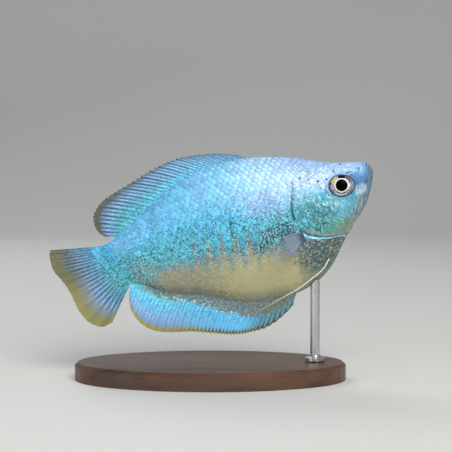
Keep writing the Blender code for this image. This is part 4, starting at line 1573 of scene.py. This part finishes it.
@dataclass(frozen=True)
class Skin:
    """One skin over the head, jaws, gill covers, trunk and tail stem."""

    head_step: float = 0.14
    body_step: float = 0.34
    head_end: float = 21.0
    round_points: int = 288
    cap: float = 0.004  # of the map's length, for the fan that closes an end
    lip_stations: tuple[float, ...] = (0.004, 0.016, 0.036, 0.065, 0.1, 0.15, 0.22, 0.3, 0.4)
    nodes: tuple[str, ...] = (
        "head", "lower_jaw", "trunk", "tail_stem", "gill_cover_left", "gill_cover_right",
    )

    def stations(self) -> Array:
        """Distances behind the snout, close together on the head.

        Returns:
            The distances in order.
        """
        lips = LIP_TIP + np.array(self.lip_stations)
        head = np.arange(lips[-1] + self.head_step * 0.8, self.head_end, self.head_step)
        body = np.linspace(self.head_end, FLESH_END, round((FLESH_END - self.head_end) / self.body_step))
        return np.concatenate([lips, head, body])

    def caps(self, rows: int) -> tuple[list[tuple[int, ...]], list[tuple[float, float]]]:
        """The fans of triangles that close the snout and the tail.

        Args:
            rows: how many rings of points lie between them.

        Returns:
            The faces, and the places of their corners on the map.
        """
        count, faces, corners = self.round_points, [], []
        last = (rows - 1) * count
        for k in range(count):
            after, low, high = (k + 1) % count, k / count, (k + 1) / count
            middle = (low + high) / 2.0
            faces += [(rows * count, k, after), (rows * count + 1, last + after, last + k)]
            corners += [(0.0, middle), (self.cap, low), (self.cap, high)]
            corners += [(1.0, middle), (1 - self.cap, high), (1 - self.cap, low)]
        return faces, corners

    def build(self) -> None:
        """Makes the skin."""
        stations, count = self.stations(), self.round_points
        rows = len(stations)
        angles = -math.pi / 2.0 + 2.0 * math.pi * np.arange(count) / count
        back, angle = np.meshgrid(stations, angles, indexing="ij")
        points = BODY.surface(back, angle)
        place, zone = BODY.marks(back, angle)
        tips = [[LIP_TIP + BODY.coat_depth, 0.0, BACK_LINE[0][1]], points[-1].mean(axis=0)]
        points = np.concatenate([points.reshape(-1, 3), tips])
        place = np.concatenate([place.reshape(-1, 3), tips])
        zone = np.concatenate([zone.reshape(-1, 3), [zone[0].mean(axis=0), zone[-1].mean(axis=0)]])
        faces, corners = self.caps(rows)
        quads, on_map = (np.roll(part, 1, axis=1) for part in tube_faces(rows, count, flip=True))
        spots = grid_spots(BODY.unwrap(stations, np.zeros(rows))[:, 0], np.linspace(0.0, 1.0, count + 1))
        corners = np.concatenate([corners, spots[on_map.ravel()]])
        plan = MeshPlan(points, faces + quads.tolist(), corners, vectors={"fish": place, "zone": zone})
        skin = plan.make("skin", SkinFinish().material(), 70.0)
        settle(skin, "skin", *self.nodes)


@dataclass(frozen=True)
class ScaleField:
    """Where one kind of scale grows, and its size."""

    along: float  # from one scale to the next of its row
    across: float  # from one row to the next
    first: float
    last: float
    sizes: Pairs
    lift: float
    grows: Callable[[Array, Array], Array]


def on_trunk(back: Array, up: Array) -> Array:
    """Where full scales grow: behind the gill covers, and on the nape above them."""
    nape = up > GILL_TOP - 0.1 + smooth(13.0, 9.0, back)
    return (gill_distance(back, up) < -0.5) | nape


def on_cheek(back: Array, up: Array) -> Array:
    """Where small scales grow: on the cheek and the gill cover, clear of the eye."""
    clear = (gill_distance(back, up) > 0.9) & (eye_distance(back, up) > EYE_RADIUS + 1.2)
    return clear & (back > 9.0) & (up > -8.8) & (up < 2.6)


TRUNK_SCALES = ScaleField(
    1.38, 1.06, 8.6, 62.8,
    ((8.0, 0.5), (13.0, 0.68), (20.0, 0.96), (36.0, 1.0), (46.0, 0.92), (58.0, 0.74), (63.0, 0.45)),
    0.08, on_trunk,
)
CHEEK_SCALES = ScaleField(1.2, 0.95, 8.5, 20.0, ((8.5, 0.85), (20.0, 1.1)), 0.035, on_cheek)


@dataclass(frozen=True)
class ScaleCoat:
    """The scales of one side, as thin plates that overlap towards the tail."""

    side: Side
    fields: tuple[ScaleField, ...] = (TRUNK_SCALES, CHEEK_SCALES)
    rows: int = 7
    columns: int = 7
    length: float = 1.8  # of a scale, in steps along its row
    half_height: float = 1.12  # in steps from row to row
    rounding: float = 0.36  # how far the corners of the free edge fall back, in lengths
    shoulder: float = 0.22  # how much narrower the root is than the middle
    curl: float = 0.35  # how far the upper and lower edges dip, in lifts
    sink: float = 0.12  # how deep the outermost row of points lies in the skin
    belly_press: float = 0.55  # how much flatter the scales lie on the belly
    jitter: float = 0.05  # in sizes
    patch: float = 0.003

    def roots(self, field: ScaleField, girth: GirthMap, draw: np.random.Generator) -> Array:
        """Where the scales of a field grow.

        Args:
            field: the kind of scale.
            girth: distances round the flank.
            draw: random numbers.

        Returns:
            Rows of (back, distance round, size, lift, tone).
        """
        size_at = Curve(field.sizes)
        found, back, column = [], field.first, 0
        while back < field.last:
            size = float(size_at(back))
            low, high = girth.limits(back)
            step = field.across * size
            for row in range(math.ceil(low / step) + 1, int(high / step) + 1):
                if (row + column) % 2:
                    continue
                shift = draw.uniform(-self.jitter, self.jitter, 2) * size
                tone = draw.uniform(-1.0, 1.0)
                found.append((back + shift[0], row * step + shift[1], size, field.lift, tone))
            back += 0.5 * field.along * size
            column += 1
        roots = np.array(found)
        spots = BODY.smooth_points(roots[:, 0], girth.angle(roots[:, 0], roots[:, 1]))
        return roots[field.grows(spots[:, 0], spots[:, 2])]

    def plates(self, roots: Array, field: ScaleField, girth: GirthMap) -> dict[str, Array]:
        """The points of every scale of a field.

        Args:
            roots: what the method of that name returned.
            field: the kind of scale.
            girth: distances round the flank.

        Returns:
            Arrays of shape (scales, rows, columns, ...) named points, fish, zone, rim, tone and spots.
        """
        rows, columns = self.rows + 1, self.columns + 2
        a = np.minimum(np.arange(rows) / (self.rows - 1.0), 1.0)[None, :, None]
        b = np.clip((np.arange(columns) - 1.0) / (self.columns - 1.0) * 2.0 - 1.0, -1.0, 1.0)[None, None, :]
        start, round_it, size, rise, tone = (roots[:, i, None, None] for i in range(5))
        along = self.length * field.along * size * (a - self.rounding * b * b * a ** 1.5)
        width = 1 - self.shoulder + self.shoulder * np.sin(math.pi * np.minimum(a * 1.1, 1.0))
        across = self.half_height * field.across * size * b * width
        back = np.clip(start + along, 0.6, FLESH_END - 0.05)
        angle = girth.angle(back, (round_it + across) * (Curve(field.sizes)(back) / size))
        place, zone = BODY.marks(back, angle)
        sunk = np.ones((1, rows, columns), bool)
        sunk[:, :-1, 1:-1] = False
        lift = rise * (-1.0 + 2.1 * a ** 0.8 - self.curl * b * b) - self.sink * sunk
        lift = lift * (1 - self.belly_press * smooth(0.3, 0.16, zone[..., 0]))
        rim = np.maximum(smooth(0.62, 1.0, a + 0.0 * b), smooth(0.75, 1.0, np.abs(b)) * smooth(0.4, 0.8, a))
        root = BODY.unwrap(roots[:, 0], girth.angle(roots[:, 0], roots[:, 1]), self.side)
        square = grid_spots(np.arange(rows) / (rows - 1) - 0.5, np.arange(columns) / (columns - 1) - 0.5)
        return {
            "points": BODY.surface(back, angle, lift),
            "fish": place,
            "zone": zone,
            "rim": np.broadcast_to(rim, back.shape),
            "tone": np.broadcast_to(tone, back.shape),
            "spots": root[:, None, None] + square.reshape(1, rows, columns, 2) * self.patch,
        }

    def build(self) -> None:
        """Makes one side's scales."""
        draw = np.random.default_rng(7 if self.side is Side.LEFT else 11)
        girth = GirthMap()
        plates = [self.plates(self.roots(field, girth, draw), field, girth) for field in self.fields]
        joined = {key: np.concatenate([plate[key] for plate in plates]) for key in plates[0]}
        count, rows, columns = joined["points"].shape[:3]
        for key in ("points", "fish"):
            joined[key][..., 1] *= self.side.value
        one = grid_faces(rows, columns, self.side is Side.RIGHT)
        faces = (one + (np.arange(count) * rows * columns)[:, None, None]).reshape(-1, 4)
        plan = MeshPlan(
            joined["points"], faces.tolist(), joined["spots"].reshape(-1, 2)[faces.ravel()],
            {key: joined[key] for key in ("tone", "rim")}, {key: joined[key] for key in ("fish", "zone")},
        )
        coat = plan.make("scales_" + self.side.word, ScaleFinish().material(), 50.0)
        settle(coat, "skin")


@dataclass(frozen=True)
class Fin:
    """A thin fin of clear web between raised rays. Its kinds give the places of its rays."""

    name: str
    rays: int
    finish: FinFinish
    tips: Sequence[tuple[float, float, float]] = ()  # share of the base, and the tip's back and up
    bulge: float = 0.0
    notch: float = 0.07
    soft_from: float = 0.5  # share of the base where branched rays begin
    web_half: float = 0.05
    ray_half: float = 0.15
    ray_width: float = 0.17  # in gaps between rays
    root_half: float = 0.3
    reach: float = 0.996  # of the solid fin's height, so as to lie within it
    pleat: float = 0.1
    fine: int = 10  # columns in each gap
    rows: int = 34
    fork: float = 0.17  # in gaps, how far a soft ray's branches part
    twig: float = 0.085  # and how far each of them parts again
    edge: float = 0.004  # the width of the fin's rim on the map

    def root(self, share: Array) -> tuple[Array, Array]:
        """Back and up of the foot of a ray."""
        raise NotImplementedError

    def tip(self, share: Array) -> tuple[Array, Array]:
        """Back and up of the tip of a ray."""
        return tuple(Curve([(row[0], row[i]) for row in self.tips])(share) for i in (1, 2))

    def sway(self, share: Array, along: Array) -> Array:
        """How far the fin's middle sheet lies to the fish's left."""
        raise NotImplementedError

    def lay(self, points: Array) -> Array:
        """The fin's own points in the fish's frame."""
        return points

    def crest(self, phase: Array, along: Array, share: Array) -> Array:
        """How far a point is on a ray.

        Args:
            phase: distance from the nearest ray's line, in gaps.
            along: share of the way to the tip.
            share: share of the base.

        Returns:
            1 on a ray and 0 between rays. Soft rays branch in two and again in two.
        """
        soft = smooth(self.soft_from - 0.04, self.soft_from + 0.04, share)
        fork = self.fork * smooth(0.4, 0.75, along) * soft
        twig = self.twig * smooth(0.7, 0.95, along) * soft
        width = self.ray_width * (1 - 0.35 * along - 0.25 * smooth(0.4, 0.8, along) * soft)
        ways = [(first, second) for first in (-1.0, 1.0) for second in (-1.0, 1.0)]
        return np.maximum.reduce([hump(phase - a * fork - b * twig, width) for a, b in ways])

    def sheet(self, share: Array, along: Array, phase: Array) -> Array:
        """The fin's outline filled with points, notched between its rays.

        Args:
            share: share of the base.
            along: share of the way to the tip.
            phase: distance from the nearest ray's line, in gaps.

        Returns:
            (columns, rows, 2) back and up.
        """
        foot, end = (np.stack(spot(share[:, 0]), axis=-1)[:, None, :] for spot in (self.root, self.tip))
        deep = self.notch * (1 - 0.75 * smooth(self.soft_from - 0.1, self.soft_from + 0.1, share))
        reach = self.reach - deep * np.sin(math.pi * phase) ** 2 * along ** 5
        ray = (end - foot) * reach[..., None]
        bend = (self.bulge * 4.0 * along * (1 - along))[..., None]
        return foot + ray * along[..., None] + np.stack([-ray[..., 1], ray[..., 0]], axis=-1) * bend

    def build(self, slot: str, node: str) -> None:
        """Makes the fin.

        Args:
            slot: the record's material slot.
            node: the solid that it stands for.
        """
        columns = (self.rays - 1) * self.fine + 1
        share = np.linspace(0.0, 1.0, columns)[:, None]
        along = (np.linspace(0.0, 1.0, self.rows) ** 0.9)[None, :]
        gaps = share * (self.rays - 1)
        phase = (gaps + 0.5) % 1 - 0.5
        crest = self.crest(phase, along, share)
        half = self.web_half + self.ray_half * crest * (1 - 0.8 * along)
        half = half + self.root_half * np.exp(-along / 0.07)
        middle = self.sway(share, along) + self.pleat * along * np.cos(math.pi * gaps)
        back, up = np.moveaxis(self.sheet(share, along, phase), -1, 0)
        sides = [np.stack([back, middle + way * half, up], axis=-1) for way in (1.0, -1.0)]
        own = np.concatenate(sides).reshape(-1, 3)
        fin = np.stack([share + 0.0 * along, along + 0.0 * share, crest], axis=-1).reshape(-1, 3)
        spots = grid_spots(0.01 + 0.48 * share[:, 0], 0.02 + 0.96 * along[0])
        left, right = (grid_faces(columns, self.rows, flip) for flip in (False, True))
        rim, rim_spots = self.rim(columns, spots)
        faces = np.concatenate([left, right + columns * self.rows, rim])
        corners = np.concatenate([spots[left.ravel()], spots[right.ravel()] + (0.5, 0.0), rim_spots])
        laid = self.lay(own)
        plan = MeshPlan(laid, faces.tolist(), corners, vectors={"fin": np.tile(fin, (2, 1)), "fish": laid})
        piece = plan.make(self.name, self.finish.material(), 60.0)
        settle(piece, slot, node)

    def rim(self, columns: int, spots: Array) -> tuple[Array, Array]:
        """The quads that join the two sheets round their edge.

        Args:
            columns: how many columns of points a sheet has.
            spots: the places of a sheet's points on the map.

        Returns:
            (faces, 4) indices of points, and the places of their corners.
        """
        order = np.arange(columns * self.rows).reshape(columns, self.rows)
        runs = (order[:-1, 0], order[-1, :-1], order[:0:-1, -1], order[0, :0:-1])
        ways = ((0.0, -1.0), (1.0, 0.0), (0.0, 1.0), (-1.0, 0.0))
        out = np.concatenate([np.tile(way, (len(run), 1)) for run, way in zip(runs, ways)]) * self.edge
        first = np.concatenate(runs)
        second = np.roll(first, -1)
        corners = np.stack([spots[second], spots[first], spots[first] + out, spots[second] + out], axis=1)
        faces = np.stack([second, first, first + order.size, second + order.size], axis=1)
        return faces, corners.reshape(-1, 2)


@dataclass(frozen=True)
class LongFin(Fin):
    """The long fin of the back or of the belly, with a slow wave along its margin."""

    base: tuple[float, float] = DORSAL_BASE
    line: Curve = BODY.back  # the body's edge that it stands on
    sunk: float = 0.7  # how far its foot lies under that line
    wave: float = 0.5
    half_waves: float = 3.0

    def root(self, share: Array) -> tuple[Array, Array]:
        """Back and up of the foot of a ray, a little inside the body."""
        back = self.base[0] + (self.base[1] - self.base[0]) * share
        return back, self.line(back) - self.sunk

    def sway(self, share: Array, along: Array) -> Array:
        """How far the wave takes the fin to the fish's left."""
        return self.wave * np.sin(self.half_waves * math.pi * share) * along ** 2


@dataclass(frozen=True)
class TailFin(Fin):
    """The fan of the tail, swung a little to the fish's left."""

    sunk: float = 1.2
    sweep: float = 2.2  # how far the tips swing
    ripple: float = 0.25

    def root(self, share: Array) -> tuple[Array, Array]:
        """Finds the feet of rays, a little inside the tail stem.

        Args:
            share: shares of the base.

        Returns:
            Their back and up.
        """
        top, low = float(BODY.back(BODY_LENGTH)), float(BODY.belly(BODY_LENGTH))
        up = top + (low - top) * (0.03 + 0.94 * share)
        return BODY_LENGTH - self.sunk + BODY.lean(np.full_like(up, BODY_LENGTH), up), up

    def sway(self, share: Array, along: Array) -> Array:
        """The swing of the tail, with a ripple across its rays."""
        return self.sweep * along ** 1.6 + self.ripple * np.sin(5.0 * math.pi * share) * along ** 2


@dataclass(frozen=True)
class PectoralFin(Fin):
    """A rounded clear paddle behind the gill cover."""

    side: Side = Side.LEFT
    length: float = 10.5
    root_height: float = 2.3
    fan: float = math.radians(50.0)
    twist: float = 0.9
    off_flank: float = 0.45

    def root(self, share: Array) -> tuple[Array, Array]:
        """Along and across of the foot of a ray, in the paddle's own plane."""
        return np.full_like(share, -0.9), self.root_height * (0.5 - share)

    def tip(self, share: Array) -> tuple[Array, Array]:
        """Finds the tips of rays, in the paddle's own plane.

        Args:
            share: shares of the base.

        Returns:
            Their along and across.
        """
        angle = self.fan * (0.5 - share)
        reach = self.length * (0.84 + 0.16 * np.cos(2.0 * angle))
        return reach * np.cos(angle), reach * np.sin(angle)

    def sway(self, share: Array, along: Array) -> Array:
        """A twist across the paddle."""
        return self.twist * np.sin(math.pi * along * 0.5) * (share - 0.5)

    def lay(self, points: Array) -> Array:
        """Turns the paddle to stand out from the flank.

        Args:
            points: along, out of its plane and across.

        Returns:
            The points in the fish's frame.
        """
        out, lift = PECTORAL_DIRECTION.normalized(), Vector((0.0, 0.0, 1.0))
        rise = (lift - out * lift.dot(out)).normalized()
        back, up = PECTORAL_ROOT
        flank = np.array([BODY.side_at(back, up + across * rise.z) for across in points[:, 2]])
        laid = points @ np.array([out, out.cross(rise), rise]) + np.array([back, self.off_flank, up])
        laid[:, 1] += flank
        laid[:, 1] *= self.side.value
        return laid


@dataclass(frozen=True)
class Feeler:
    """A pelvic fin drawn out into one thread that trails along the belly."""

    side: Side
    finish: FinFinish
    radius: float = 0.16
    tip_radius: float = 0.08
    joint_rise: float = 0.02
    joints: float = 22.0
    rings: int = 90
    sides: int = 12

    def thickness(self, share: Array) -> Array:
        """The thread's radius, with a fine ring at each of its joints and a rounded tip.

        Args:
            share: shares of the way from root to tip.

        Returns:
            The radii there.
        """
        radius = self.radius + (self.tip_radius - self.radius) * share
        radius = radius + self.joint_rise * np.cos(share * 2.0 * math.pi * self.joints)
        return radius * np.sqrt(np.clip((1 - share) * 60.0, 0.0, 1.0)) + 0.004

    def build(self) -> None:
        """Makes the thread."""
        out, up = (Curve([(row[0], row[i]) for row in FEELER_PATH]) for i in (1, 2))
        share = np.linspace(0.0, 1.0, self.rings)
        back = FEELER_PATH[0][0] + (FEELER_PATH[-1][0] - FEELER_PATH[0][0]) * share
        path = np.stack([back, out(back), up(back)], axis=-1)
        along = np.gradient(path, axis=0)
        along = along / np.linalg.norm(along, axis=1, keepdims=True)
        first = np.array([0.0, 1.0, 0.0]) - along * along[:, 1:2]
        first = first / np.linalg.norm(first, axis=1, keepdims=True)
        second = np.cross(along, first)
        turn = (2.0 * math.pi * np.arange(self.sides) / self.sides)[None, :, None]
        ring = first[:, None] * np.cos(turn) + second[:, None] * np.sin(turn)
        points = (path[:, None] + ring * self.thickness(share)[:, None, None]).reshape(-1, 3)
        points[:, 1] *= self.side.value
        faces, on_map = tube_faces(self.rings, self.sides, self.side is Side.LEFT)
        corners = grid_spots(share, np.linspace(0.0, 1.0, self.sides + 1))[on_map.ravel()]
        level = np.repeat(share, self.sides)
        fin = np.stack([np.full_like(level, 0.5), level, np.ones_like(level)], axis=-1)
        plan = MeshPlan(points, faces.tolist(), corners, vectors={"fin": fin, "fish": points})
        piece = plan.make("feeler_thread_" + self.side.word, self.finish.material(), 60.0)
        settle(piece, "clear_fin", "pelvic_feeler_" + self.side.word)


@dataclass(frozen=True)
class Eye:
    """An eyeball with a raised lens and a shallow iris: a dome in front and a flatter bowl behind."""

    side: Side
    rings: int = 40
    sides: int = 72
    pupil_rear: float = 0.14  # the pupil's middle, from the eye's
    pupil_up: float = 0.14
    lens_rise: float = 0.1
    iris_dip: float = 0.05
    inset: float = 0.03  # how far it lies inside the solid eye's outline
    depth_inset: float = 0.12

    def build(self) -> None:
        """Makes the eye."""
        tilt = np.linspace(0.0, math.pi, self.rings)[:, None]
        turn = (2.0 * math.pi * np.arange(self.sides) / self.sides)[None, :]
        level = (EYE_LENGTH_RADIUS - self.inset) * np.sin(tilt) * np.cos(turn)
        upright = (EYE_HEIGHT_RADIUS - self.inset) * np.sin(tilt) * np.sin(turn)
        back = level * math.cos(PITCH) - upright * math.sin(PITCH)
        up = level * math.sin(PITCH) + upright * math.cos(PITCH)
        rear, above = level - self.pupil_rear, upright - self.pupil_up
        off = np.hypot(rear, above)
        lens = self.lens_rise * (1 - smooth(1.0, 1.5, off)) - self.iris_dip * hump(off - 1.95, 0.35)
        depth = (EYE_DEPTH_RADIUS - self.depth_inset) * np.cos(tilt) + np.where(np.cos(tilt) > 0.0, lens, 0.0)
        out = BODY.side_at(EYE_BACK, EYE_UP) + EYE_STANDS_OUT - EYE_DEPTH_RADIUS + depth
        points = np.stack([EYE_BACK + back, self.side.value * out, EYE_UP + up], axis=-1)
        spot = np.stack([rear, above, EYE_RADIUS * np.sin(tilt) + 0.0 * turn], axis=-1)
        faces = tube_faces(self.rings, self.sides, self.side is Side.RIGHT)[0]
        flat = np.stack([level, upright], axis=-1).reshape(-1, 2) / EYE_LENGTH_RADIUS * 0.24 + 0.25
        behind = faces.min(axis=1) >= self.rings // 2 * self.sides
        corners = flat[faces] + behind[:, None, None] * np.array([0.5, 0.0])
        plan = MeshPlan(points, faces.tolist(), corners, vectors={"eye": spot})
        piece = plan.make("glass_eye_" + self.side.word, EyeFinish().material(), 80.0)
        settle(piece, "eye", "eye_" + self.side.word)


@dataclass(frozen=True)
class Stand:
    """The oval wooden base and the steel rod, which keep the shapes of their solids."""

    def dress(self) -> None:
        """Gives the stand its materials."""
        for node, finish in (("stand_base", WoodFinish()), ("stand_rod", SteelFinish())):
            made = finish.material()
            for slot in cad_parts[node].material_slots:
                slot.material = made
            LOG.info("%s: keeps its solid, in %s", node, made.name)


@dataclass(frozen=True)
class Studio:
    """A pale sweep, soft lights and the camera at the photo's angle."""

    lens: float = 100.0
    sensor: float = 36.0
    aim: tuple[float, float, float] = (0.00357, 0.0, 0.0350)
    distance: float = 0.2856
    elevation: float = math.radians(3.0)

    def camera(self) -> None:
        """Makes the camera."""
        data = bpy.data.cameras.new("camera")
        data.lens = self.lens
        data.sensor_width = self.sensor
        data.sensor_fit = "HORIZONTAL"
        data.clip_start = 0.005
        data.clip_end = 20.0
        camera = bpy.data.objects.new("camera", data)
        away = Vector((0.0, -math.cos(self.elevation), math.sin(self.elevation)))
        camera.location = Vector(self.aim) + away * self.distance
        camera.rotation_euler = (-away).to_track_quat("-Z", "Y").to_euler()
        bpy.context.scene.collection.objects.link(camera)
        bpy.context.scene.camera = camera
        pixel = self.distance * self.sensor / self.lens / PHOTO_SIDE
        LOG.info("camera: one photo pixel is %.4f mm", pixel / MM)

    def floor(self) -> None:
        """Makes the sweep: a floor that curves up into a wall behind the stand."""
        reach, width, bend, steps = 0.9, 1.6, 0.35, 14
        profile = [(-reach, 0.0), (reach - bend, 0.0)]
        for i in range(1, steps + 1):
            turn = math.pi / 2.0 * i / steps
            profile.append((reach - bend + bend * math.sin(turn), bend - bend * math.cos(turn)))
        profile.append((reach, 1.4))
        points = np.array([(x, y, z) for y, z in profile for x in (-width, width)])
        plan = MeshPlan(points, grid_faces(len(profile), 2).tolist(), pose=None)
        floor = plan.make("floor", PaperFinish().material(), 80.0)

    def light(self, name: str, place: tuple[float, float, float], size: float, power: float,
              tint: tuple[float, float, float]) -> None:
        """Makes one soft light that looks at the fish.

        Args:
            name: its name.
            place: where it hangs, in metres.
            size: the side of its square, in metres.
            power: its power in watts.
            tint: its colour.
        """
        data = bpy.data.lights.new(name, "AREA")
        data.shape = "SQUARE"
        data.size = size
        data.energy = power
        data.color = tint
        light = bpy.data.objects.new(name, data)
        light.location = place
        light.visible_camera = False
        look = Vector((0.0, 0.0, 0.03)) - Vector(place)
        light.rotation_euler = look.to_track_quat("-Z", "Y").to_euler()
        bpy.context.scene.collection.objects.link(light)

    def build(self) -> None:
        """Makes the camera, the floor and the lights."""
        self.camera()
        self.floor()
        self.light("key", (0.16, -0.46, 0.4), 0.4, 3.4, (1.0, 0.98, 0.95))
        self.light("fill", (-0.45, -0.45, 0.12), 0.4, 1.0, (0.95, 0.98, 1.0))
        self.light("rim", (-0.2, 0.4, 0.45), 0.3, 0.9, (1.0, 1.0, 1.0))
        scene = bpy.context.scene
        world = bpy.data.worlds.new("studio")
        world.use_nodes = True
        background = world.node_tree.nodes["Background"]
        background.inputs["Color"].default_value = (0.9, 0.94, 1.0, 1.0)
        background.inputs["Strength"].default_value = 0.3
        scene.world = world
        scene.view_settings.view_transform = "Standard"
        scene.view_settings.look = "None"


DORSAL_FINISH = FinFinish(
    "dorsal_web",
    web_front=((0.0, Tint.SKY), (0.2, Tint.DEEP_WATER), (0.4, Tint.WEB), (0.8, Tint.WEB), (1.0, Tint.SLATE)),
    web_rear=(
        (0.0, Tint.SKY), (0.35, Tint.DEEP_WATER), (0.5, Tint.WEB), (0.68, Tint.SLATE), (0.88, Tint.DUSK),
    ),
    ray_front=((0.0, Tint.SKY), (0.3, Tint.RAY), (0.75, Tint.RAY), (1.0, Tint.MIST)),
    ray_rear=(
        (0.0, Tint.SKY), (0.4, Tint.TURQUOISE), (0.6, Tint.RAY), (0.74, Tint.LILAC), (0.88, Tint.DUSK),
    ),
    clear=0.7, clear_from=0.86, skin_until=0.4, skin_from=0.2, rear_from=0.4, rear_to=0.85,
)
ANAL_FINISH = FinFinish(
    "anal_web",
    web_front=((0.84, Tint.SKY), (0.94, Tint.MOSS)),
    web_rear=(
        (0.0, Tint.AQUA), (0.3, Tint.PALE_SKY), (0.5, Tint.PALE_SKY), (0.66, Tint.LILAC), (0.85, Tint.LILAC),
        (0.92, Tint.OLIVE),
    ),
    ray_front=((0.75, Tint.PALE_SKY), (0.88, Tint.RAY), (0.95, Tint.OLIVE)),
    ray_rear=(
        (0.4, Tint.AQUA), (0.55, Tint.PALE_SKY), (0.7, Tint.LAVENDER), (0.85, Tint.LILAC), (0.93, Tint.OLIVE),
    ),
    clear=0.9, clear_from=0.97, web_alpha=1.0, rays_show=0.6, dashes=0.7, frost=0.8, glitter=1.0,
    rear_from=0.4, rear_to=0.8,
)
TAIL_FINISH = FinFinish(
    "tail_web",
    web_front=(
        (0.0, Tint.SKY), (0.2, Tint.TURQUOISE), (0.4, Tint.WEB), (0.7, Tint.SLATE), (0.88, Tint.CLEAR_OLIVE),
    ),
    web_rear=(
        (0.0, Tint.TURQUOISE), (0.3, Tint.DEEP_WATER), (0.55, Tint.WEB), (0.76, Tint.KEEL),
        (0.88, Tint.OLIVE),
    ),
    ray_front=(
        (0.0, Tint.SKY), (0.35, Tint.RAY), (0.6, Tint.SMOKE), (0.74, Tint.MIST), (0.86, Tint.CLEAR_OLIVE),
    ),
    ray_rear=(
        (0.0, Tint.AQUA), (0.4, Tint.RAY), (0.62, Tint.LAVENDER), (0.78, Tint.MIST), (0.88, Tint.OLIVE),
    ),
    clear=0.75, clear_from=0.84, web_alpha=0.92, skin_until=0.4,
)
CLEAR_WEB = ((0.08, Tint.PLUM), (0.2, Tint.SMOKE))
CLEAR_RAY = ((0.0, Tint.PLUM), (0.08, Tint.LIP), (0.2, Tint.SMOKE), (1.0, Tint.PEARL))
CLEAR_FINISH = FinFinish(
    "clear_web", CLEAR_WEB, CLEAR_WEB, CLEAR_RAY, CLEAR_RAY,
    clear=0.1, clear_from=0.55, web_alpha=0.75, glitter=0.1, sides_fade=0.8,
)
THREAD = ((0.4, Tint.CREAM), (0.8, Tint.TAN), (1.0, Tint.BROWN))
THREAD_FINISH = FinFinish("thread", THREAD, THREAD, THREAD, THREAD, clear=0.9, clear_from=0.9, glitter=0.05)


def main() -> None:
    """Builds every piece in order."""
    logging.basicConfig(level=logging.INFO, format="%(name)s: %(message)s")
    Studio().build()
    Skin().build()
    for side in Side:
        ScaleCoat(side).build()
        Eye(side).build()
        Feeler(side, THREAD_FINISH).build()
        name = "pectoral_fin_" + side.word
        fin = PectoralFin("rayed_" + name, 12, CLEAR_FINISH, notch=0.03, soft_from=0.2, pleat=0.05, side=side)
        fin.build("clear_fin", name)
    dorsal = LongFin(
        "rayed_dorsal_fin", 38, DORSAL_FINISH, DORSAL_TIPS, bulge=0.03, soft_from=0.62, ray_width=0.26,
        fine=8,
    )
    dorsal.build("blue_fin", "dorsal_fin")
    anal = LongFin(
        "rayed_anal_fin", 46, ANAL_FINISH, ANAL_TIPS, bulge=0.05, notch=0.05, ray_width=0.3, ray_half=0.11,
        fine=8, base=ANAL_BASE, line=BODY.belly, sunk=-0.8, wave=-0.5, half_waves=2.6,
    )
    anal.build("blue_fin", "anal_fin")
    tail = TailFin(
        "rayed_tail_fin", 22, TAIL_FINISH, TAIL_TIPS, notch=0.02, soft_from=0.0, root_half=0.5, fine=12,
    )
    tail.build("blue_fin", "tail_fin")
    Stand().dress()


if __name__ == "__main__":
    main()
